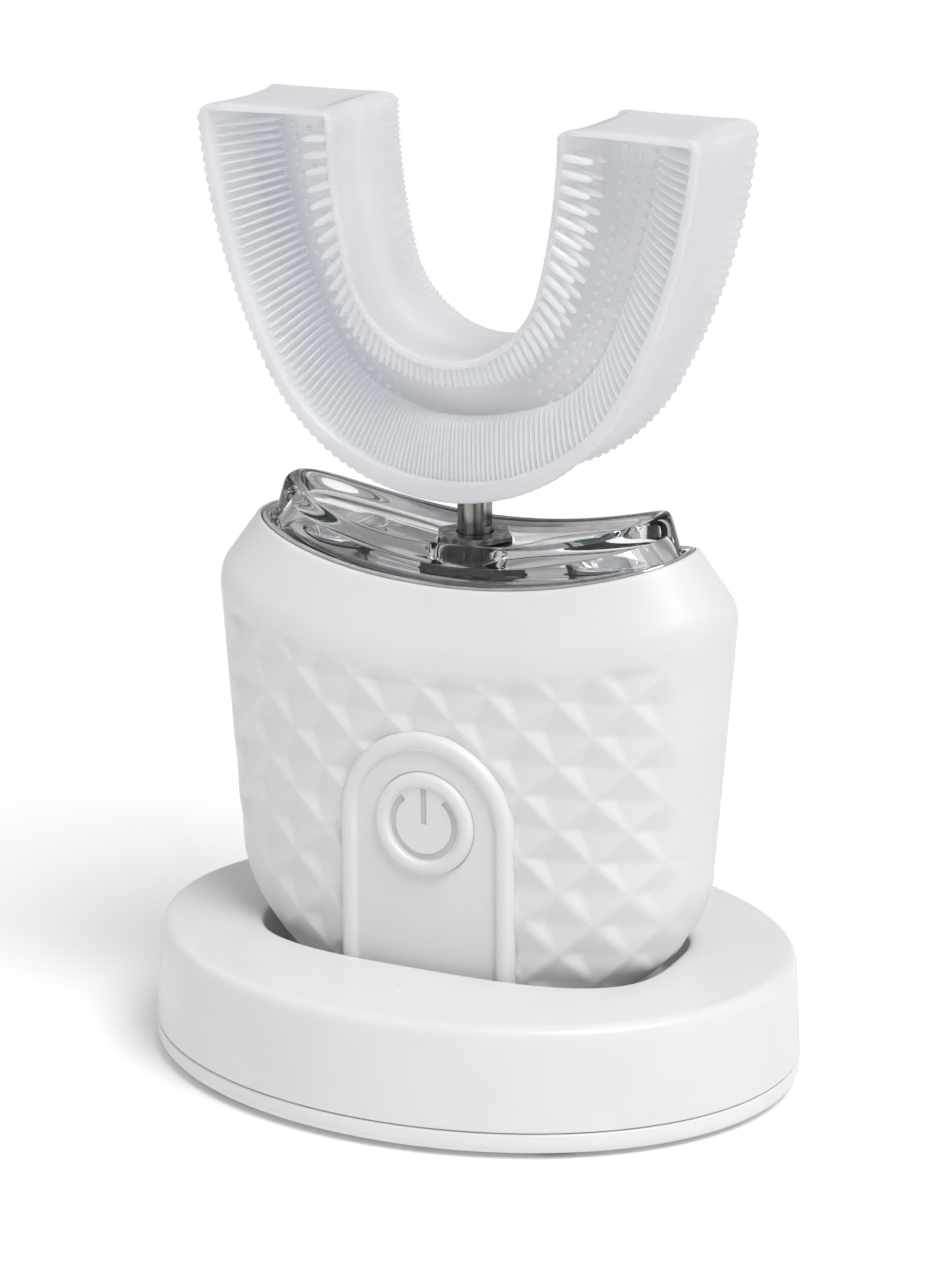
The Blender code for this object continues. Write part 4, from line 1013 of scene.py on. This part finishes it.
def bristles():
    """Points and faces of every rib, finger and nub of the tray, for both channels."""
    points, faces = [], []

    def add(parts):
        points.extend(parts[0])
        faces.extend(parts[1])

    for face in (-1, 1):
        depth_way = Vector((0.0, face, 0.0))
        for share in outer_ribs():
            middle, outward, half, distance = arch_station(share)
            web = web_half(distance)
            near = 1 - smooth(abs(share) / 0.45)
            length = RIB_LENGTH + RIB_LENGTH_NEAR * near
            thin = RIB_HALF + RIB_HALF_NEAR * near
            top = TRAY_DEPTH - 0.55
            low_top = web + 3.0 + 0.6 * near
            lip = outer_lip(distance)
            root_n = half - max(1.6, lip - 0.3)
            slant = 0.2 * smooth((2.2 - lip) / 0.8)
            along = outward.cross(depth_way)
            stages = []
            for part, squeeze in RIB_STAGES:
                height = top + (low_top - top) * part**1.3
                foot = web - 0.3
                tall = (height - foot) / 2 * squeeze
                stages.append((length * part, thin * squeeze, tall, (height + foot) / 2))
            root = middle + outward * root_n
            add(bristle_parts(root, -outward, depth_way, along, stages, len(points), slant))
        for share in inner_fingers():
            middle, outward, half, distance = arch_station(share)
            web = web_half(distance)
            near = 1 - smooth((abs(share) - 0.05) / 0.4)
            length = FINGER_LENGTH + FINGER_LENGTH_NEAR * near
            radius = FINGER_RADIUS + FINGER_RADIUS_NEAR * near
            along = outward.cross(depth_way)
            for depth, inset in FINGER_ROWS:
                if depth < web + 0.5:
                    continue
                root = middle - outward * (half - inset)
                stages = []
                for part, squeeze in FINGER_STAGES:
                    thin = radius * squeeze
                    stages.append((length * part, thin, 1.25 * thin, depth - 0.5 * part))
                add(bristle_parts(root, outward, depth_way, along, stages, len(points)))
        for share, n in floor_nubs():
            middle, outward, half, distance = arch_station(share)
            along = outward.cross(depth_way)
            root = middle + outward * n + depth_way * (web_half(distance) - 0.15)
            stages = [(height, radius, radius, 0.0) for height, radius in NUB_STAGES]
            add(bristle_parts(root, depth_way, outward, along, stages, len(points)))
    return points, faces


def floor_nubs():
    """Small nubs in staggered rows on the floor of a channel: (share along the U, outward distance)."""
    found = []
    for i in range(NUB_COUNT):
        for k, n in enumerate(NUB_ROWS):
            share = NUB_START + NUB_STEP * (i + (k % 2) / 2)
            if share < NUB_END:
                found += [(share, n), (-share, n)]
    return found


def make_tray(look, bristle_look):
    per_side = SCALLOPS * SCALLOP_STEPS
    shares = [i / per_side for i in range(-per_side, per_side + 1)]
    closings = [math.sin(math.pi / 2 * i / END_STEPS) for i in range(END_STEPS + 1)]
    end = [(END_SHARE + (1 - END_SHARE) * closing, closing) for closing in closings]
    stations = [(-share, closing) for share, closing in reversed(end)]
    stations += [(share, 0.0) for share in shares if abs(share) < END_SHARE]
    stations += end
    points, faces = loft_parts([tray_ring(*station) for station in stations])
    tray = make_object("mouthpiece_tray_fine", points, faces, look)
    clear = SOCKET_RADIUS + SEAM
    pocket = turned("pocket", [(clear, SOCKET_BOTTOM - 4.0), (clear, SOCKET_TOP + SEAM)])
    combine(tray, [pocket], "DIFFERENCE")
    for piece in (tray, make_object("mouthpiece_bristles", *bristles(), bristle_look)):
        stands_for(piece, "mouthpiece", "tray_silicone", "mouthpiece_tray")


# Stage


CAMERA_TURN, CAMERA_RISE = math.radians(25.2), math.radians(15.8)
CAMERA_DISTANCE = 0.496
CAMERA_TARGET = Vector((0.0, 0.0, 0.060))
CAMERA_LENS = 117.54
CAMERA_SHIFT = (0.0004, -0.0404)
# Brightness of the room at heights from the horizon, 0, to straight up, 1
ROOM_BANDS = [(0.0, 0.5), (0.2, 0.5), (0.3, 0.28), (0.44, 0.28), (0.54, 0.6), (1.0, 0.62)]
BACKDROP = 0.97
FLOOR_SIZE = 4000.0


def aim(thing, target):
    way = target - thing.location
    thing.rotation_euler = way.to_track_quat("-Z", "Y").to_euler()


def way_to(turn, rise):
    """Direction at a turn from the front towards the right and a rise above the floor, both in radians."""
    return Vector((math.sin(turn) * math.cos(rise), -math.cos(turn) * math.cos(rise), math.sin(rise)))


def make_camera():
    data = bpy.data.cameras.new("camera")
    data.sensor_fit = "VERTICAL"
    data.sensor_height = 36.0
    data.lens = CAMERA_LENS
    data.shift_x, data.shift_y = CAMERA_SHIFT
    data.clip_start = 0.01
    camera = bpy.data.objects.new("camera", data)
    bpy.context.scene.collection.objects.link(camera)
    camera.location = CAMERA_TARGET + way_to(CAMERA_TURN, CAMERA_RISE) * CAMERA_DISTANCE
    aim(camera, CAMERA_TARGET)
    bpy.context.scene.camera = camera


def make_light(name, turn, rise, spread, power):
    """A soft lamp like a hazy sun. Turn, rise and spread are in degrees."""
    data = bpy.data.lights.new(name, "SUN")
    data.angle = math.radians(spread)
    data.energy = power
    lamp = bpy.data.objects.new(name, data)
    bpy.context.scene.collection.objects.link(lamp)
    lamp.location = CAMERA_TARGET + way_to(math.radians(turn), math.radians(rise))
    aim(lamp, CAMERA_TARGET)


def make_world():
    """A bright room with a darker band above eye level, which bright metal and clear plastic pick up.

    Behind the object it is plain and pale, like the floor.
    """
    world = bpy.data.worlds.new("studio")
    world.use_nodes = True
    tree = world.node_tree
    coordinates = tree.nodes.new("ShaderNodeTexCoord")
    split = tree.nodes.new("ShaderNodeSeparateXYZ")
    ramp = tree.nodes.new("ShaderNodeValToRGB")
    tree.links.new(coordinates.outputs["Generated"], split.inputs["Vector"])
    tree.links.new(split.outputs["Z"], ramp.inputs["Fac"])
    tree.links.new(ramp.outputs["Color"], tree.nodes["Background"].inputs["Color"])
    backdrop = tree.nodes.new("ShaderNodeBackground")
    backdrop.inputs["Color"].default_value = (*grey(BACKDROP), 1.0)
    path = tree.nodes.new("ShaderNodeLightPath")
    choice = tree.nodes.new("ShaderNodeMixShader")
    tree.links.new(path.outputs["Is Camera Ray"], choice.inputs["Fac"])
    tree.links.new(tree.nodes["Background"].outputs["Background"], choice.inputs[1])
    tree.links.new(backdrop.outputs["Background"], choice.inputs[2])
    tree.links.new(choice.outputs["Shader"], tree.nodes["World Output"].inputs["Surface"])
    elements = ramp.color_ramp.elements
    while len(elements) < len(ROOM_BANDS):
        elements.new(0.5)
    for element, (height, value) in zip(elements, ROOM_BANDS):
        element.position = height
        element.color = (*grey(value), 1.0)
    bpy.context.scene.world = world


def make_floor():
    made = Finish("floor_look", Emission_Color=(1, 1, 1, 1), Emission_Strength=0.05)
    made.colour(made.noise(60.0), grey(0.93), grey(0.94))
    made.roughness(made.noise(20.0), 0.8, 0.9)
    corners = [Vector((x * FLOOR_SIZE, y * FLOOR_SIZE, 0.0)) for x, y in CORNERS]
    floor = make_object("floor", corners, [(0, 1, 2, 3)], made.material)


def paint_nodes(looks):
    """Gives each CAD node that stays the look of its slot."""
    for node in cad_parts.values():
        for material_slot in node.material_slots:
            slot = material_slot.material.name.split(".")[0]
            material_slot.material = looks[slot]


def make_all():
    looks = make_looks()
    paint_nodes(looks)
    make_base_shell(looks["base_plastic"])
    make_base_plate(looks["base_plastic"])
    make_handle_shell(looks["handle_plastic"])
    make_trim_ring(looks["bright_trim"])
    make_clear_cap(looks["clear_plastic"])
    make_reflector(looks["bright_trim"])
    make_control_panel(looks["soft_white"])
    make_power_button(looks["soft_white"], looks["symbol_ink"])
    make_tray(looks["tray_silicone"], looks["tray_bristles"])
    make_floor()
    make_world()
    make_light("key", turn=60.0, rise=57.0, spread=30.0, power=1.95)
    make_camera()
    scene = bpy.context.scene
    scene.view_settings.view_transform = "Standard"
    # Enough bounces to light the tray's deep channels and the clear cap
    scene.cycles.max_bounces = 24
    scene.cycles.diffuse_bounces = 10
    scene.cycles.glossy_bounces = 8
    scene.cycles.transmission_bounces = 24


make_all()
